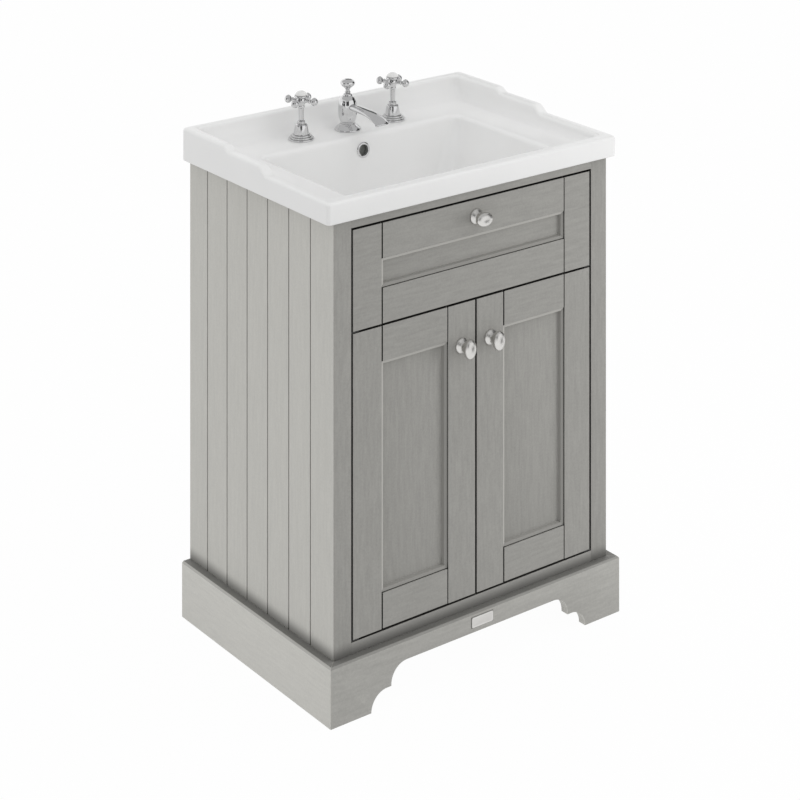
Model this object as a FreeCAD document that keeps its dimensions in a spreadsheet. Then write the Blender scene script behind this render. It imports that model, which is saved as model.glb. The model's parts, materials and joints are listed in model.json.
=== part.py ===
import FreeCAD, Part
import math
import os
import types

import Sketcher

os.makedirs("parts", exist_ok=True)
doc = FreeCAD.newDocument("VanityUnit")

# Driving sizes in millimetres. The floor is z = 0, the front faces -Y and the wall stands at the back.
sizes = [
    ("cabinet_width", 586, "across the two side panels"),
    ("cabinet_depth", 431, "from the front face to the wall"),
    ("cabinet_top", 796, "top of the carcass, where the basin sits"),
    ("board", 18, "thickness of carcass boards"),
    ("knob_reach", 29, "knob standing out from the front face"),
    ("first_plank", 65, "front edge to the first groove of a side panel"),
    ("plank", 62, "pitch of the side panel grooves"),
    ("groove_wide", 4, "groove width at the face"),
    ("groove_deep", 3, "groove depth"),
    ("face_stile", 35, "front stile width"),
    ("face_rail", 15.5, "top front rail height"),
    ("rail_foot", 80, "underside of the bottom front rail"),
    ("sill", 115.4, "top of the cabinet floor"),
    ("back_thick", 8, "back panel thickness"),
    ("wall_rail_drop", 16, "carcass top to the wall fixing rail"),
    ("wall_rail_high", 90, "height of the wall fixing rail"),
    ("wall_hole", 3.5, "radius of a wall fixing hole"),
    ("wall_spread", 360, "distance between the wall fixing holes"),
    ("service_wide", 300, "pipe opening width"),
    ("service_low", 380, "pipe opening underside"),
    ("service_drop", 90, "wall fixing rail to the pipe opening"),
    ("divider_lap", 20, "door top over the rail behind the drawer gap"),
    ("divider_high", 21, "height of the rail behind the drawer gap"),
    ("shelf_low", 345, "underside of the shelf"),
    ("shelf_deep", 245, "shelf depth"),
    ("shelf_slack", 0.5, "room at each shelf end"),
    ("peg", 2.5, "shelf peg radius"),
    ("peg_seat", 10, "shelf peg length in the panel"),
    ("peg_out", 9, "shelf peg length under the shelf"),
    ("peg_inset", 35, "shelf edge to peg"),
    ("fit_slack", 0.06, "radial room of pins and stems that turn or slide"),
    ("plinth_high", 97, "plinth height"),
    ("plinth_front", 16, "front plinth board thickness"),
    ("plinth_side", 17, "side plinth board thickness"),
    ("plinth_chamfer", 3, "chamfer on the top outer edge of the plinth"),
    ("foot_wide", 80.5, "width of a bracket foot at the floor"),
    ("cusp_in", 40.3, "inside of a bracket foot to its cusp"),
    ("cove", 31, "radius of both coves of a bracket foot"),
    ("cusp_rise", 2.4, "short upright above the cusp"),
    ("block", 32, "side of a glue block"),
    ("badge_wide", 45, "blank plate width"),
    ("badge_high", 17, "blank plate height"),
    ("badge_thick", 1.5, "blank plate thickness"),
    ("badge_corner", 2.5, "blank plate corner radius"),
    ("badge_low", 73, "underside of the blank plate"),
    ("gap", 3.6, "gap round the doors and the drawer front"),
    ("drawer_high", 163.3, "drawer front height"),
    ("front_thick", 20, "door and drawer front thickness"),
    ("member", 58.5, "width of the stiles and rails of doors and drawer front"),
    ("recess", 9.5, "front face to the panel"),
    ("panel_thick", 6, "thickness of the recessed panels"),
    ("tongue", 8, "depth of the panel groove"),
    ("panel_slack", 1, "room for a panel to swell in its groove"),
    ("arris", 0.8, "chamfer on inner frame edges"),
    ("pivot_inset", 6, "door edge and face to the pivot"),
    ("pivot_pin", 2.5, "pivot pin radius"),
    ("pivot_reach", 10, "pivot pin length in the door"),
    ("plate", 1.6, "pivot plate thickness"),
    ("plate_wide", 12, "pivot plate width"),
    ("plate_set", 1, "front face to the pivot plate"),
    ("plate_seat", 15, "length of a pivot plate in the stile"),
    ("swing_room", 0.4, "room for the back corner of a door as it swings"),
    ("strike_gap", 0.1, "room between strike plate and catch"),
    ("catch_in", 12, "middle to a catch"),
    ("catch_wide", 36, "catch width"),
    ("catch_high", 14, "catch height"),
    ("strike_inset", 2, "strike plate inside the catch outline"),
    ("tray_foot", 4.4, "drawer front underside to drawer box underside"),
    ("tray_room", 13, "bowl underside to the drawer box"),
    ("tray_wall", 12, "drawer box board thickness"),
    ("tray_base", 6, "drawer bottom thickness"),
    ("tray_back_room", 62, "drawer box to the back panel"),
    ("notch_wide", 130, "width of the space the drawer leaves round the waste"),
    ("notch_room", 45, "front of that space to the waste axis"),
    ("runner_wide", 13, "width of a drawer runner"),
    ("runner_high", 36, "height of a drawer runner"),
    ("rail_lip", 9.1, "reach of the fixed rail's lips"),
    ("slider_lip", 9.75, "reach of the slider's lips"),
    ("runner_sheet", 1.5, "runner sheet thickness"),
    ("runner_play", 0.5, "room between runner members"),
    ("runner_web_play", 0.6, "room between the runner webs"),
    ("runner_set", 2, "drawer front back to the runners"),
    ("knob_drop", 27.9, "drawer front top to its knob"),
    ("door_knob_drop", 70, "door top to its knob"),
    ("knob_long", 17, "half length of the oval knob head"),
    ("knob_short", 13.5, "half width of the oval knob head"),
    ("knob_half", 8, "half thickness of the oval knob head"),
    ("rose", 12.5, "radius of the knob rose"),
    ("knob_neck", 6, "radius of the knob neck"),
    ("stud", 2, "radius of the knob stud"),
    ("stud_short", 1, "stud end to the back of the front"),
    ("basin_lap", 17, "basin past each side panel"),
    ("basin_front_lap", 9, "basin past the front face"),
    ("deck", 14, "ceramic thickness of the tap deck"),
    ("rim_low", 35, "front lip height above the carcass"),
    ("rise_one", 13, "height of the lower step"),
    ("rise_two", 8, "height of the upper step"),
    ("step_one", 180, "basin front to the foot of the lower step"),
    ("step_one_long", 23, "length of the lower step"),
    ("step_two", 294, "basin front to the foot of the upper step"),
    ("step_two_long", 18, "length of the upper step"),
    ("lip", 28, "front lip width"),
    ("side_rim", 23, "side rim width"),
    ("upstand", 14, "rear rim width"),
    ("basin_corner", 7, "upright corner radius of the basin"),
    ("recess_corner", 18, "corner radius of the sunk deck"),
    ("deck_cove", 9, "rounding between deck and rim"),
    ("rim_round", 4, "rounding of the rim edges"),
    ("mouth_half", 215, "half width of the bowl mouth"),
    ("mouth_front", 46, "basin front to the bowl mouth"),
    ("ledge", 109, "wall to the back of the bowl mouth"),
    ("mouth_corner", 30, "corner radius of the bowl mouth"),
    ("mouth_round", 6, "rounding of the bowl mouth"),
    ("side_lean", 37, "bowl mouth to bowl floor at the sides"),
    ("front_lean", 36, "bowl mouth to bowl floor at the front"),
    ("back_lean", 13, "bowl mouth to bowl floor at the back"),
    ("floor_corner", 45, "corner radius of the bowl floor"),
    ("bowl_deep", 119, "deck to bowl floor"),
    ("bowl_wall", 12, "ceramic thickness of the bowl"),
    ("floor_round", 18, "rounding between bowl floor and walls"),
    ("overflow_drop", 26, "deck to the overflow centre"),
    ("overflow", 10.5, "overflow hole radius"),
    ("overflow_deep", 9, "overflow hole depth"),
    ("ring_lap", 3.5, "overflow ring past the hole"),
    ("ring_wall", 1.3, "overflow hole to the ring opening"),
    ("ring_slack", 0.5, "room round the overflow ring in its hole"),
    ("ring_thick", 2, "overflow ring thickness"),
    ("tap_room", 1.5, "room round a shank in its tap hole"),
    ("tap_in", 64, "wall to the tap holes"),
    ("tap_pitch", 101.6, "spacing of the tap holes"),
    ("shank", 13, "threaded shank radius"),
    ("shank_long", 60, "valve shank below the deck face"),
    ("spout_shank", 75, "spout shank below the deck face"),
    ("inlet", 10.4, "inlet tail radius"),
    ("inlet_long", 25, "inlet tail length"),
    ("port_drop", 45, "deck face to the side ports"),
    ("port", 8, "side port radius"),
    ("port_reach", 22, "axis to the end of a side port"),
    ("feed", 5, "feed tube radius"),
    ("feed_bore", 4, "feed tube bore radius"),
    ("washer", 21, "deck washer radius"),
    ("washer_room", 0.2, "room round a shank in its washer"),
    ("washer_thick", 3, "deck washer thickness"),
    ("nut_across", 21, "deck nut corner radius"),
    ("nut_high", 11, "deck nut height"),
    ("stem", 4, "handle stem radius"),
    ("arm_high", 69, "deck to the handle arms"),
    ("arm", 26, "handle axis to a ball centre"),
    ("arm_thick", 3, "handle arm radius"),
    ("ball", 5.3, "handle ball radius"),
    ("handle_turn", 29.5, "handle arms turned from the front, degrees"),
    ("spout_reach", 98, "spout axis to the outlet"),
    ("spout_root", 42, "deck to the spout arm at its root"),
    ("spout_tip", 34, "deck to the middle of the outlet end"),
    ("spout_tube", 7, "spout arm radius"),
    ("nozzle", 7.6, "outlet nozzle radius"),
    ("nozzle_drop", 7.5, "nozzle below the end of the arm"),
    ("outlet", 5, "outlet bore radius"),
    ("arm_sink", 2.5, "root of the spout arm down to its axis"),
    ("arm_arch", 0.5, "crest of the spout arm above its root"),
    ("spout_crown", 66, "deck to the top of the spout"),
    ("rod_stand", 2, "spout top to the foot of the lift knob"),
    ("tongue_half", 6, "half width of the tongue under the plug"),
    ("tongue_thick", 3, "thickness of the tongue under the plug"),
    ("tongue_rise", 11, "lever to the top of the tongue"),
    ("rod", 2.5, "lift rod radius"),
    ("waste_in", 136, "back of the bowl mouth to the waste axis"),
    ("waste_room", 1.5, "room round the waste in its hole"),
    ("waste_tail", 22, "waste body radius below the flange"),
    ("waste_bore", 17, "waste bore radius"),
    ("waste_long", 92, "bowl floor to the end of the tail"),
    ("tail_end", 20.9, "radius of the tail end"),
    ("tail_end_long", 25, "length of the tail end"),
    ("waste_flange", 31, "waste flange radius"),
    ("seal_thick", 3, "waste seal thickness"),
    ("waste_nut", 31, "waste nut corner radius"),
    ("waste_nut_high", 9, "waste nut height"),
    ("lever_drop", 52, "bowl floor to the lever"),
    ("lever_pivot", 28, "waste axis to the lever pivot"),
    ("lever_boss", 12, "lever boss radius"),
    ("lever_socket", 9, "lever socket radius"),
    ("socket_end", 3, "lever ball to the end of the lever boss"),
    ("cap_grip", 8, "length of the cap on the lever boss"),
    ("cap_end", 3, "end and wall thickness of that cap"),
    ("cap_way", 6, "radius of the lever's way through the cap"),
    ("lever_rod", 2, "lever rod radius"),
    ("lever_tip", 4, "lever past the waste axis"),
    ("lever_tail", 8, "lever past the strap"),
    ("eye", 2.9, "radius of the eyes the lever passes through"),
    ("plug_room", 0.5, "room round the plug in the waste"),
    ("dimple", 1.5, "radius of the centre marks in the lever ball"),
    ("dimple_deep", 3, "depth of the centre marks in the lever ball"),
    ("strap_top", 110, "deck to the top of the strap"),
    ("strap_wide", 10, "strap width"),
    ("strap_thick", 2, "strap thickness"),
    ("strap_past", 14, "strap past the lever"),
    ("collar_long", 16, "length of the strap collar"),
    ("rod_seat", 8, "length of the rod in the strap collar"),
    ("blade_lap", 4, "strap blade let into the collar"),
]

sheet = doc.addObject("Spreadsheet::Sheet", "Sizes")
for row, (alias, number, note) in enumerate(sizes, start=1):
    sheet.set(f"A{row}", note)
    sheet.set(f"B{row}", str(number))
    sheet.setAlias(f"B{row}", alias)
doc.recompute()


class Size:
    """A length or an angle: its number, and the expression that reads it from the sheet."""

    def __init__(self, number, text):
        self.number = number
        self.text = text

    def __add__(self, other):
        other = as_size(other)
        return Size(self.number + other.number, f"({self.text} + {other.text})")

    def __sub__(self, other):
        other = as_size(other)
        return Size(self.number - other.number, f"({self.text} - {other.text})")

    def __mul__(self, other):
        other = as_size(other)
        return Size(self.number * other.number, f"({self.text} * {other.text})")

    def __truediv__(self, other):
        other = as_size(other)
        return Size(self.number / other.number, f"({self.text} / {other.text})")

    def __neg__(self):
        return Size(-self.number, f"(0 - {self.text})")

    __radd__ = __add__
    __rmul__ = __mul__

    def __rsub__(self, other):
        return as_size(other) - self


def as_size(value):
    if isinstance(value, Size):
        return value
    return Size(float(value), f"({float(value)!r})")


def root(size):
    return Size(math.sqrt(size.number), f"sqrt({size.text})")


d = types.SimpleNamespace(**{alias: Size(float(number), f"Sizes.{alias}") for alias, number, note in sizes})
half_turn = math.sqrt(0.5)


def bind(item, path, value):
    item.setExpression(path, as_size(value).text)


def place(item, x, y, z, axis=None, angle=0):
    if axis:
        item.Placement = FreeCAD.Placement(FreeCAD.Vector(), FreeCAD.Rotation(FreeCAD.Vector(*axis), angle))
    bind(item, ".Placement.Base.x", x)
    bind(item, ".Placement.Base.y", y)
    bind(item, ".Placement.Base.z", z)
    return item


def box(label, left, right, front, back, low, high):
    item = doc.addObject("Part::Box", label)
    bind(item, "Length", as_size(right) - left)
    bind(item, "Width", as_size(back) - front)
    bind(item, "Height", as_size(high) - low)
    return place(item, left, front, low)


turns = {"X": ((0, 1, 0), 90), "Y": ((1, 0, 0), -90), "Z": ((0, 0, 1), 0)}


def cylinder(label, along, x, y, z, radius, length):
    item = doc.addObject("Part::Cylinder", label)
    bind(item, "Radius", radius)
    bind(item, "Height", length)
    return place(item, x, y, z, *turns[along])


def sphere(label, x, y, z, radius):
    item = doc.addObject("Part::Sphere", label)
    bind(item, "Radius", radius)
    return place(item, x, y, z)


def hexagon(label, x, y, z, corner, height):
    item = doc.addObject("Part::Prism", label)
    item.Polygon = 6
    bind(item, "Circumradius", corner)
    bind(item, "Height", height)
    return place(item, x, y, z)


def cut(label, base, *tools):
    item = doc.addObject("Part::Cut", label)
    item.Base = base
    item.Tool = tools[0] if len(tools) == 1 else fuse(label + "_tools", *tools)
    return item


def fuse(label, *pieces):
    item = doc.addObject("Part::MultiFuse", label)
    item.Shapes = list(pieces)
    return item


def group(label, *pieces):
    item = doc.addObject("Part::Compound", label)
    item.Links = list(pieces)
    return item


def mirror(label, source):
    item = doc.addObject("Part::Mirroring", label)
    item.Source = source
    item.Normal = FreeCAD.Vector(1, 0, 0)
    return item


def body(label):
    return doc.addObject("PartDesign::Body", label)


def attach(owner, plane, lift):
    """Empty sketch on one of the body's own planes, moved along the plane's normal by lift."""
    sketch = owner.newObject("Sketcher::SketchObject", owner.Name + "_sketch")
    base = next(feature for feature in owner.Origin.OriginFeatures if feature.Role == plane)
    sketch.AttachmentSupport = [(base, "")]
    sketch.MapMode = "FlatFace"
    bind(sketch, ".AttachmentOffset.Base.z", lift)
    return sketch


def pin(sketch, spot, x, y):
    """Hold a sketch point at x and y from the sketch origin."""
    for kind, value in (("DistanceX", as_size(x)), ("DistanceY", as_size(y))):
        index = sketch.addConstraint(Sketcher.Constraint(kind, -1, 1, *spot, value.number))
        bind(sketch, f"Constraints[{index}]", value)


def point(x, y):
    return FreeCAD.Vector(as_size(x).number, as_size(y).number, 0)


def trace(sketch, corners, closed):
    """Lines and arcs through the corners: an arc leads to a corner given as x, y, mid x, mid y."""
    count = len(corners)
    tails = []
    heads = []
    for index in range(count if closed else count - 1):
        goal = corners[(index + 1) % count]
        start = point(*corners[index][:2])
        end = point(*goal[:2])
        if len(goal) == 2:
            curve = sketch.addGeometry(Part.LineSegment(start, end), False)
            first, last = 1, 2
        else:
            middle = point(*goal[2:])
            left_turn = (middle - start).cross(end - middle).z > 0
            first, last = (1, 2) if left_turn else (2, 1)
            arc = Part.Arc(start, middle, end) if left_turn else Part.Arc(end, middle, start)
            curve = sketch.addGeometry(arc, False)
            mark = sketch.addGeometry(Part.Point(middle), True)
            pin(sketch, (mark, 1), *goal[2:])
            sketch.addConstraint(Sketcher.Constraint("PointOnObject", mark, 1, curve))
        tails.append((curve, first))
        heads.append((curve, last))
    for index, tail in enumerate(tails):
        if index or closed:
            sketch.addConstraint(Sketcher.Constraint("Coincident", *heads[index - 1], *tail))
        pin(sketch, tail, *corners[index][:2])
    if not closed:
        pin(sketch, heads[-1], *corners[-1][:2])
    return sketch


def outline(owner, plane, corners, lift=0):
    return trace(attach(owner, plane, lift), corners, True)


def circle(owner, plane, x, y, radius, lift=0):
    sketch = attach(owner, plane, lift)
    size = as_size(radius).number
    curve = sketch.addGeometry(Part.Circle(point(x, y), FreeCAD.Vector(0, 0, 1), size), False)
    pin(sketch, (curve, 3), x, y)
    index = sketch.addConstraint(Sketcher.Constraint("Radius", curve, size))
    bind(sketch, f"Constraints[{index}]", radius)
    return sketch


def rectangle(left, right, low, high):
    return [(left, low), (right, low), (right, high), (left, high)]


def rounded(left, right, low, high, radius):
    """Corners of a rectangle with rounded corners."""
    cut_in = radius * (1 - half_turn)
    return [
        (left + radius, low, left + cut_in, low + cut_in),
        (right - radius, low),
        (right, low + radius, right - cut_in, low + cut_in),
        (right, high - radius),
        (right - radius, high, right - cut_in, high - cut_in),
        (left + radius, high),
        (left, high - radius, left + cut_in, high - cut_in),
        (left, low + radius),
    ]


def feature(owner, kind, sketch):
    item = owner.newObject(f"PartDesign::{kind}", f"{owner.Name}_{kind}")
    item.Profile = sketch
    return item


def pad(owner, sketch, length, backwards=False):
    """Solid from a sketch along its normal, or against it."""
    item = feature(owner, "Pad", sketch)
    item.Reversed = backwards
    bind(item, "Length", length)


def pocket(owner, sketch, length, forwards=False):
    """Cut from a sketch against its normal, or along it."""
    item = feature(owner, "Pocket", sketch)
    item.Reversed = forwards
    bind(item, "Length", length)


def revolve(owner, corners):
    """Solid of revolution about Z from an outline of radius and height."""
    sketch = outline(owner, "XZ_Plane", corners)
    item = feature(owner, "Revolution", sketch)
    item.ReferenceAxis = (sketch, ["V_Axis"])
    item.Angle = 360


def loft(owner, kind, sketches):
    item = feature(owner, kind, sketches[0])
    item.Sections = sketches[1:]
    item.Ruled = True


def soften(owner, kind, size, chosen):
    """Round or chamfer the edges of the body that the test picks."""
    doc.recompute()
    base = owner.Tip
    names = [f"Edge{index}" for index, edge in enumerate(base.Shape.Edges, start=1) if chosen(edge)]
    item = owner.newObject(f"PartDesign::{kind}", f"{owner.Name}_{kind}")
    item.Base = (base, names)
    bind(item, "Radius" if kind == "Fillet" else "Size", size)


def near(value, size):
    return abs(value - as_size(size).number) < 0.01


# Main planes of the object.
half = d.cabinet_width / 2
wall = (d.cabinet_depth + d.knob_reach) / 2
face = wall - d.cabinet_depth
inner = half - d.board
back_front = wall - d.board
open_half = half - d.face_stile
front_half = open_half - d.gap
door_foot = d.sill + d.gap
drawer_top = d.cabinet_top - d.face_rail - d.gap
drawer_foot = drawer_top - d.drawer_high
door_head = drawer_foot - d.gap
door_high = door_head - door_foot
basin_depth = d.cabinet_depth + d.basin_front_lap
basin_front = wall - basin_depth
basin_half = half + d.basin_lap
mouth_back = basin_depth - d.ledge
tap_y = wall - d.tap_in
waste_back = mouth_back - d.waste_in
waste_y = basin_front + waste_back
floor_high = d.deck - d.bowl_deep
floor_z = d.cabinet_top + floor_high
deck_top = d.cabinet_top + d.deck
nodes = []

# Side panels: planked outside, mitred to the front stiles, drilled inside for the shelf pegs.
side_panel = body("side_panel_left")
planks = [(0, 0)]
for count in range(6):
    groove = d.first_plank + d.plank * count
    planks.append((0, groove - d.groove_wide / 2))
    planks.append((d.groove_deep, groove))
    planks.append((0, groove + d.groove_wide / 2))
planks += [(0, d.cabinet_depth), (d.board, d.cabinet_depth), (d.board, d.board)]
pad(side_panel, outline(side_panel, "XY_Plane", planks), d.cabinet_top)
peg_rows = [back_front - d.shelf_deep + d.peg_inset, back_front - d.peg_inset]
peg_high = d.shelf_low - d.peg
for row in peg_rows:
    hole = circle(side_panel, "YZ_Plane", row - face, peg_high, d.peg + d.fit_slack, d.board)
    pocket(side_panel, hole, d.peg_seat)
place(side_panel, -half, face, 0)
nodes += [side_panel, mirror("side_panel_right", side_panel)]

# Front stiles and rails of the carcass. The stiles are slotted for the pivot plates.
face_stile = body("face_stile_left")
stile_plan = [(0, 0), (d.face_stile, 0), (d.face_stile, d.board), (d.board, d.board)]
pad(face_stile, outline(face_stile, "XY_Plane", stile_plan), d.cabinet_top)
plate_low = d.sill + (d.gap - d.plate) / 2
plate_high = door_head + (d.gap - d.plate) / 2
for height in (plate_low, plate_high):
    slot = rectangle(d.face_stile - d.plate_seat, d.face_stile, d.plate_set, d.plate_set + d.plate_wide)
    pocket(face_stile, outline(face_stile, "XY_Plane", slot, height), d.plate, True)
place(face_stile, -half, face, 0)
nodes += [face_stile, mirror("face_stile_right", face_stile)]
rail_back = face + d.board
rail_low = d.cabinet_top - d.face_rail
nodes.append(box("face_rail_top", -open_half, open_half, face, rail_back, rail_low, d.cabinet_top))
nodes.append(box("face_rail_bottom", -open_half, open_half, face, rail_back, d.rail_foot, d.sill))

# Inside boards.
nodes.append(box("base_panel", -inner, inner, rail_back, back_front, d.sill - d.board, d.sill))
back_rear = back_front + d.back_thick
wall_rail_top = d.cabinet_top - d.wall_rail_drop
wall_rail_low = wall_rail_top - d.wall_rail_high
back_board = box("back_board", -inner, inner, back_front, back_rear, d.sill - d.board, wall_rail_low)
service_half = d.service_wide / 2
service_top = wall_rail_low - d.service_drop
opening = box("pipe_opening", -service_half, service_half, back_front, back_rear, d.service_low, service_top)
nodes.append(cut("back_panel", back_board, opening))
rail_board = box("wall_rail_board", -inner, inner, back_front, wall, wall_rail_low, wall_rail_top)
fixing_high = wall_rail_low + d.wall_rail_high / 2
fixings = [
    cylinder(f"fixing_{name}", "Y", x, back_front, fixing_high, d.wall_hole, d.board)
    for name, x in (("left", -d.wall_spread / 2), ("right", d.wall_spread / 2))
]
nodes.append(cut("wall_rail", rail_board, *fixings))
front_back = face + d.front_thick
behind_pivot = d.front_thick - d.pivot_inset
stop = face + d.pivot_inset + root(d.pivot_inset * d.pivot_inset + behind_pivot * behind_pivot) + d.swing_room
divider_low = door_head - d.divider_lap
divider_top = divider_low + d.divider_high
nodes.append(box("divider_rail", -inner, inner, stop, stop + d.board, divider_low, divider_top))
shelf_half = inner - d.shelf_slack
shelf_front = back_front - d.shelf_deep
shelf_top = d.shelf_low + d.board
nodes.append(box("shelf", -shelf_half, shelf_half, shelf_front, back_front, d.shelf_low, shelf_top))
pegs = [
    cylinder(f"peg_{name}", "X", x, row, peg_high, d.peg, d.peg_seat + d.peg_out)
    for name, x, row in (
        ("left_front", -inner - d.peg_seat, peg_rows[0]),
        ("left_back", -inner - d.peg_seat, peg_rows[1]),
        ("right_front", inner - d.peg_out, peg_rows[0]),
        ("right_back", inner - d.peg_out, peg_rows[1]),
    )
]
nodes.append(group("shelf_pegs", *pegs))

# Plinth: three boards mitred at the front corners, the front one cut to bracket feet.
plinth_front = body("plinth_front")
plinth_half = half + d.plinth_side
plinth_plan = [(-plinth_half, 0), (plinth_half, 0), (half, d.plinth_front), (-half, d.plinth_front)]
pad(plinth_front, outline(plinth_front, "XY_Plane", plinth_plan), d.plinth_high)
reach = d.cove * half_turn
foot_in = plinth_half - d.foot_wide
cusp = foot_in - d.cusp_in
low_centre = foot_in - d.cove
high_centre = cusp - d.cove
high_low = d.cove + d.cusp_rise
high_top = high_low + d.cove
below = -d.cusp_rise
arch = [
    (-foot_in, below),
    (-foot_in, 0),
    (-low_centre, d.cove, -low_centre - reach, reach),
    (-cusp, d.cove),
    (-cusp, high_low),
    (-high_centre, high_top, -high_centre - reach, high_low + reach),
    (high_centre, high_top),
    (cusp, high_low, high_centre + reach, high_low + reach),
    (cusp, d.cove),
    (low_centre, d.cove),
    (foot_in, 0, low_centre + reach, reach),
    (foot_in, below),
]
pocket(plinth_front, outline(plinth_front, "XZ_Plane", arch), d.plinth_front)
soften(plinth_front, "Chamfer", d.plinth_chamfer,
       lambda edge: all(near(v.Z, d.plinth_high) and near(v.Y, 0) for v in edge.Vertexes))
place(plinth_front, 0, face - d.plinth_front, 0)
nodes.append(plinth_front)
plinth_side = body("plinth_side_left")
side_long = d.cabinet_depth + d.plinth_front
side_plan = [(0, 0), (d.plinth_side, d.plinth_front), (d.plinth_side, side_long), (0, side_long)]
pad(plinth_side, outline(plinth_side, "XY_Plane", side_plan), d.plinth_high)
soften(plinth_side, "Chamfer", d.plinth_chamfer,
       lambda edge: all(near(v.Z, d.plinth_high) and near(v.X, 0) for v in edge.Vertexes))
place(plinth_side, -plinth_half, face - d.plinth_front, 0)
nodes += [plinth_side, mirror("plinth_side_right", plinth_side)]
block_top = d.sill - d.board
blocks = [
    box(f"block_{name}", x, x + d.block, y, y + d.block, block_top - d.block * 2, block_top)
    for name, x, y in (
        ("left_front", -inner, rail_back),
        ("left_back", -inner, back_front - d.block),
        ("right_front", inner - d.block, rail_back),
        ("right_back", inner - d.block, back_front - d.block),
    )
]
nodes.append(group("base_blocks", *blocks))
badge = body("blank_plate")
badge_plan = rounded(-d.badge_wide / 2, d.badge_wide / 2, as_size(0), d.badge_high, d.badge_corner)
pad(badge, outline(badge, "XZ_Plane", badge_plan), d.badge_thick)
place(badge, 0, face - d.plinth_front, d.badge_low)
nodes.append(badge)

# Door pivots: plates let into the stiles, each with a pin that stands in the door's edge.
pivot_x = -(front_half - d.pivot_inset)
pivot_y = face + d.pivot_inset
pin_long = (d.gap - d.plate) / 2 + d.pivot_reach
plates = []
for name, height, pin_foot in (
    ("low", plate_low, plate_low + d.plate),
    ("high", plate_high, plate_high - pin_long),
):
    plate = box(f"plate_{name}", -open_half - d.plate_seat, pivot_x + d.pivot_inset, face + d.plate_set,
                face + d.plate_set + d.plate_wide, height, height + d.plate)
    stand = cylinder(f"pin_{name}", "Z", pivot_x, pivot_y, pin_foot, d.pivot_pin, pin_long)
    plates.append(fuse(f"pivot_{name}", plate, stand))
plates += [mirror(f"{plate.Name}_right", plate) for plate in plates]
nodes.append(group("pivot_plates", *plates))
catch_out = -d.catch_in - d.catch_wide
catch_low = divider_low - d.catch_high
catch = box("catch_left", catch_out, -d.catch_in, stop, stop + d.board, catch_low, divider_low)
nodes.append(group("catches", catch, mirror("catch_right", catch)))


# Framed fronts: stiles and rails grooved for a sunk panel, the rails tongued into the stile grooves.
groove_front = d.recess
groove_back = d.recess + d.panel_thick


def stile(label, outside, inside, high):
    item = body(label)
    side = 1 if inside.number > as_size(outside).number else -1
    plan = [
        (outside, 0),
        (inside - d.arris * side, 0),
        (inside, d.arris),
        (inside, groove_front),
        (inside - d.tongue * side, groove_front),
        (inside - d.tongue * side, groove_back),
        (inside, groove_back),
        (inside, d.front_thick),
        (outside, d.front_thick),
    ]
    pad(item, outline(item, "XY_Plane", plan), high)
    return item


def rail(label, left, right, outside, inside):
    item = body(label)
    side = 1 if as_size(inside).number > as_size(outside).number else -1
    bed = inside - d.tongue * side
    section = [
        (0, outside),
        (0, inside - d.arris * side),
        (d.arris, inside),
        (groove_front, inside),
        (groove_front, bed),
        (groove_back, bed),
        (groove_back, inside),
        (d.front_thick, inside),
        (d.front_thick, outside),
    ]
    pad(item, outline(item, "YZ_Plane", section, left), right - left)
    tenon = [(groove_front, outside), (groove_front, bed), (groove_back, bed), (groove_back, outside)]
    pad(item, outline(item, "YZ_Plane", tenon, left - d.tongue), right - left + d.tongue * 2)
    return item


def panel(label, left, right, high, foot):
    spread = d.tongue - d.panel_slack
    return box(label, left - spread, right + spread, face + groove_front, face + groove_back,
               foot + d.member - spread, foot + high - d.member + spread)


def bore_for_knob(item, x, z):
    pocket(item, circle(item, "XZ_Plane", x, z, d.stud + d.fit_slack), d.front_thick)


def knob(label, x, z, across, along):
    """Oval knob on a round rose, its stud through the front."""
    rose = body(label + "_rose")
    head_low = d.knob_reach - d.knob_half * 2
    stud_end = d.stud_short - d.front_thick
    revolve(rose, [
        (0, stud_end),
        (d.stud, stud_end),
        (d.stud, 0),
        (d.rose, 0),
        (d.rose, 1.2),
        (d.knob_neck, head_low / 2, d.rose * 0.55, head_low / 5),
        (d.knob_neck, head_low),
        (d.knob_neck * 1.5, head_low + 2, d.knob_neck * 1.1, head_low + 1.2),
        (d.knob_neck * 1.5, d.knob_reach - d.knob_half),
        (0, d.knob_reach - d.knob_half),
    ])
    head = doc.addObject("Part::Ellipsoid", label + "_head")
    bind(head, "Radius1", d.knob_half)
    bind(head, "Radius2", across)
    bind(head, "Radius3", along)
    place(head, 0, 0, d.knob_reach - d.knob_half)
    return place(fuse(label, rose, head), x, face, z, (1, 0, 0), 90)


door_in = d.gap / 2
knob_x = door_in + d.member / 2
outer_stile = stile("door_outer_stile", -front_half, -front_half + d.member, door_high)
for lift, forwards in ((as_size(0), True), (door_high, False)):
    seat = circle(outer_stile, "XY_Plane", pivot_x, d.pivot_inset, d.pivot_pin + d.fit_slack, lift)
    pocket(outer_stile, seat, d.pivot_reach + d.panel_slack, forwards)
meeting_stile = stile("door_meeting_stile", -door_in, -door_in - d.member, door_high)
door_knob_high = door_head - d.door_knob_drop
bore_for_knob(meeting_stile, -knob_x, door_knob_high - door_foot)
door_left = -front_half + d.member
door_right = -door_in - d.member
low_rail = rail("door_low_rail", door_left, door_right, as_size(0), d.member)
high_rail = rail("door_high_rail", door_left, door_right, door_high, door_high - d.member)
for item in (outer_stile, meeting_stile, low_rail, high_rail):
    place(item, 0, face, door_foot)
door_pieces = [
    group("door_left_stiles", outer_stile, meeting_stile),
    group("door_left_rails", low_rail, high_rail),
    panel("door_left_panel", door_left, door_right, door_high, door_foot),
    knob("door_left_knob", -knob_x, door_knob_high, d.knob_short, d.knob_long),
    box("door_left_strike", catch_out + d.strike_inset, -d.catch_in - d.strike_inset, front_back,
        stop - d.strike_gap, catch_low + d.strike_inset, divider_low - d.strike_inset),
]
nodes += door_pieces
nodes += [mirror(piece.Name.replace("left", "right"), piece) for piece in door_pieces]

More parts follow.
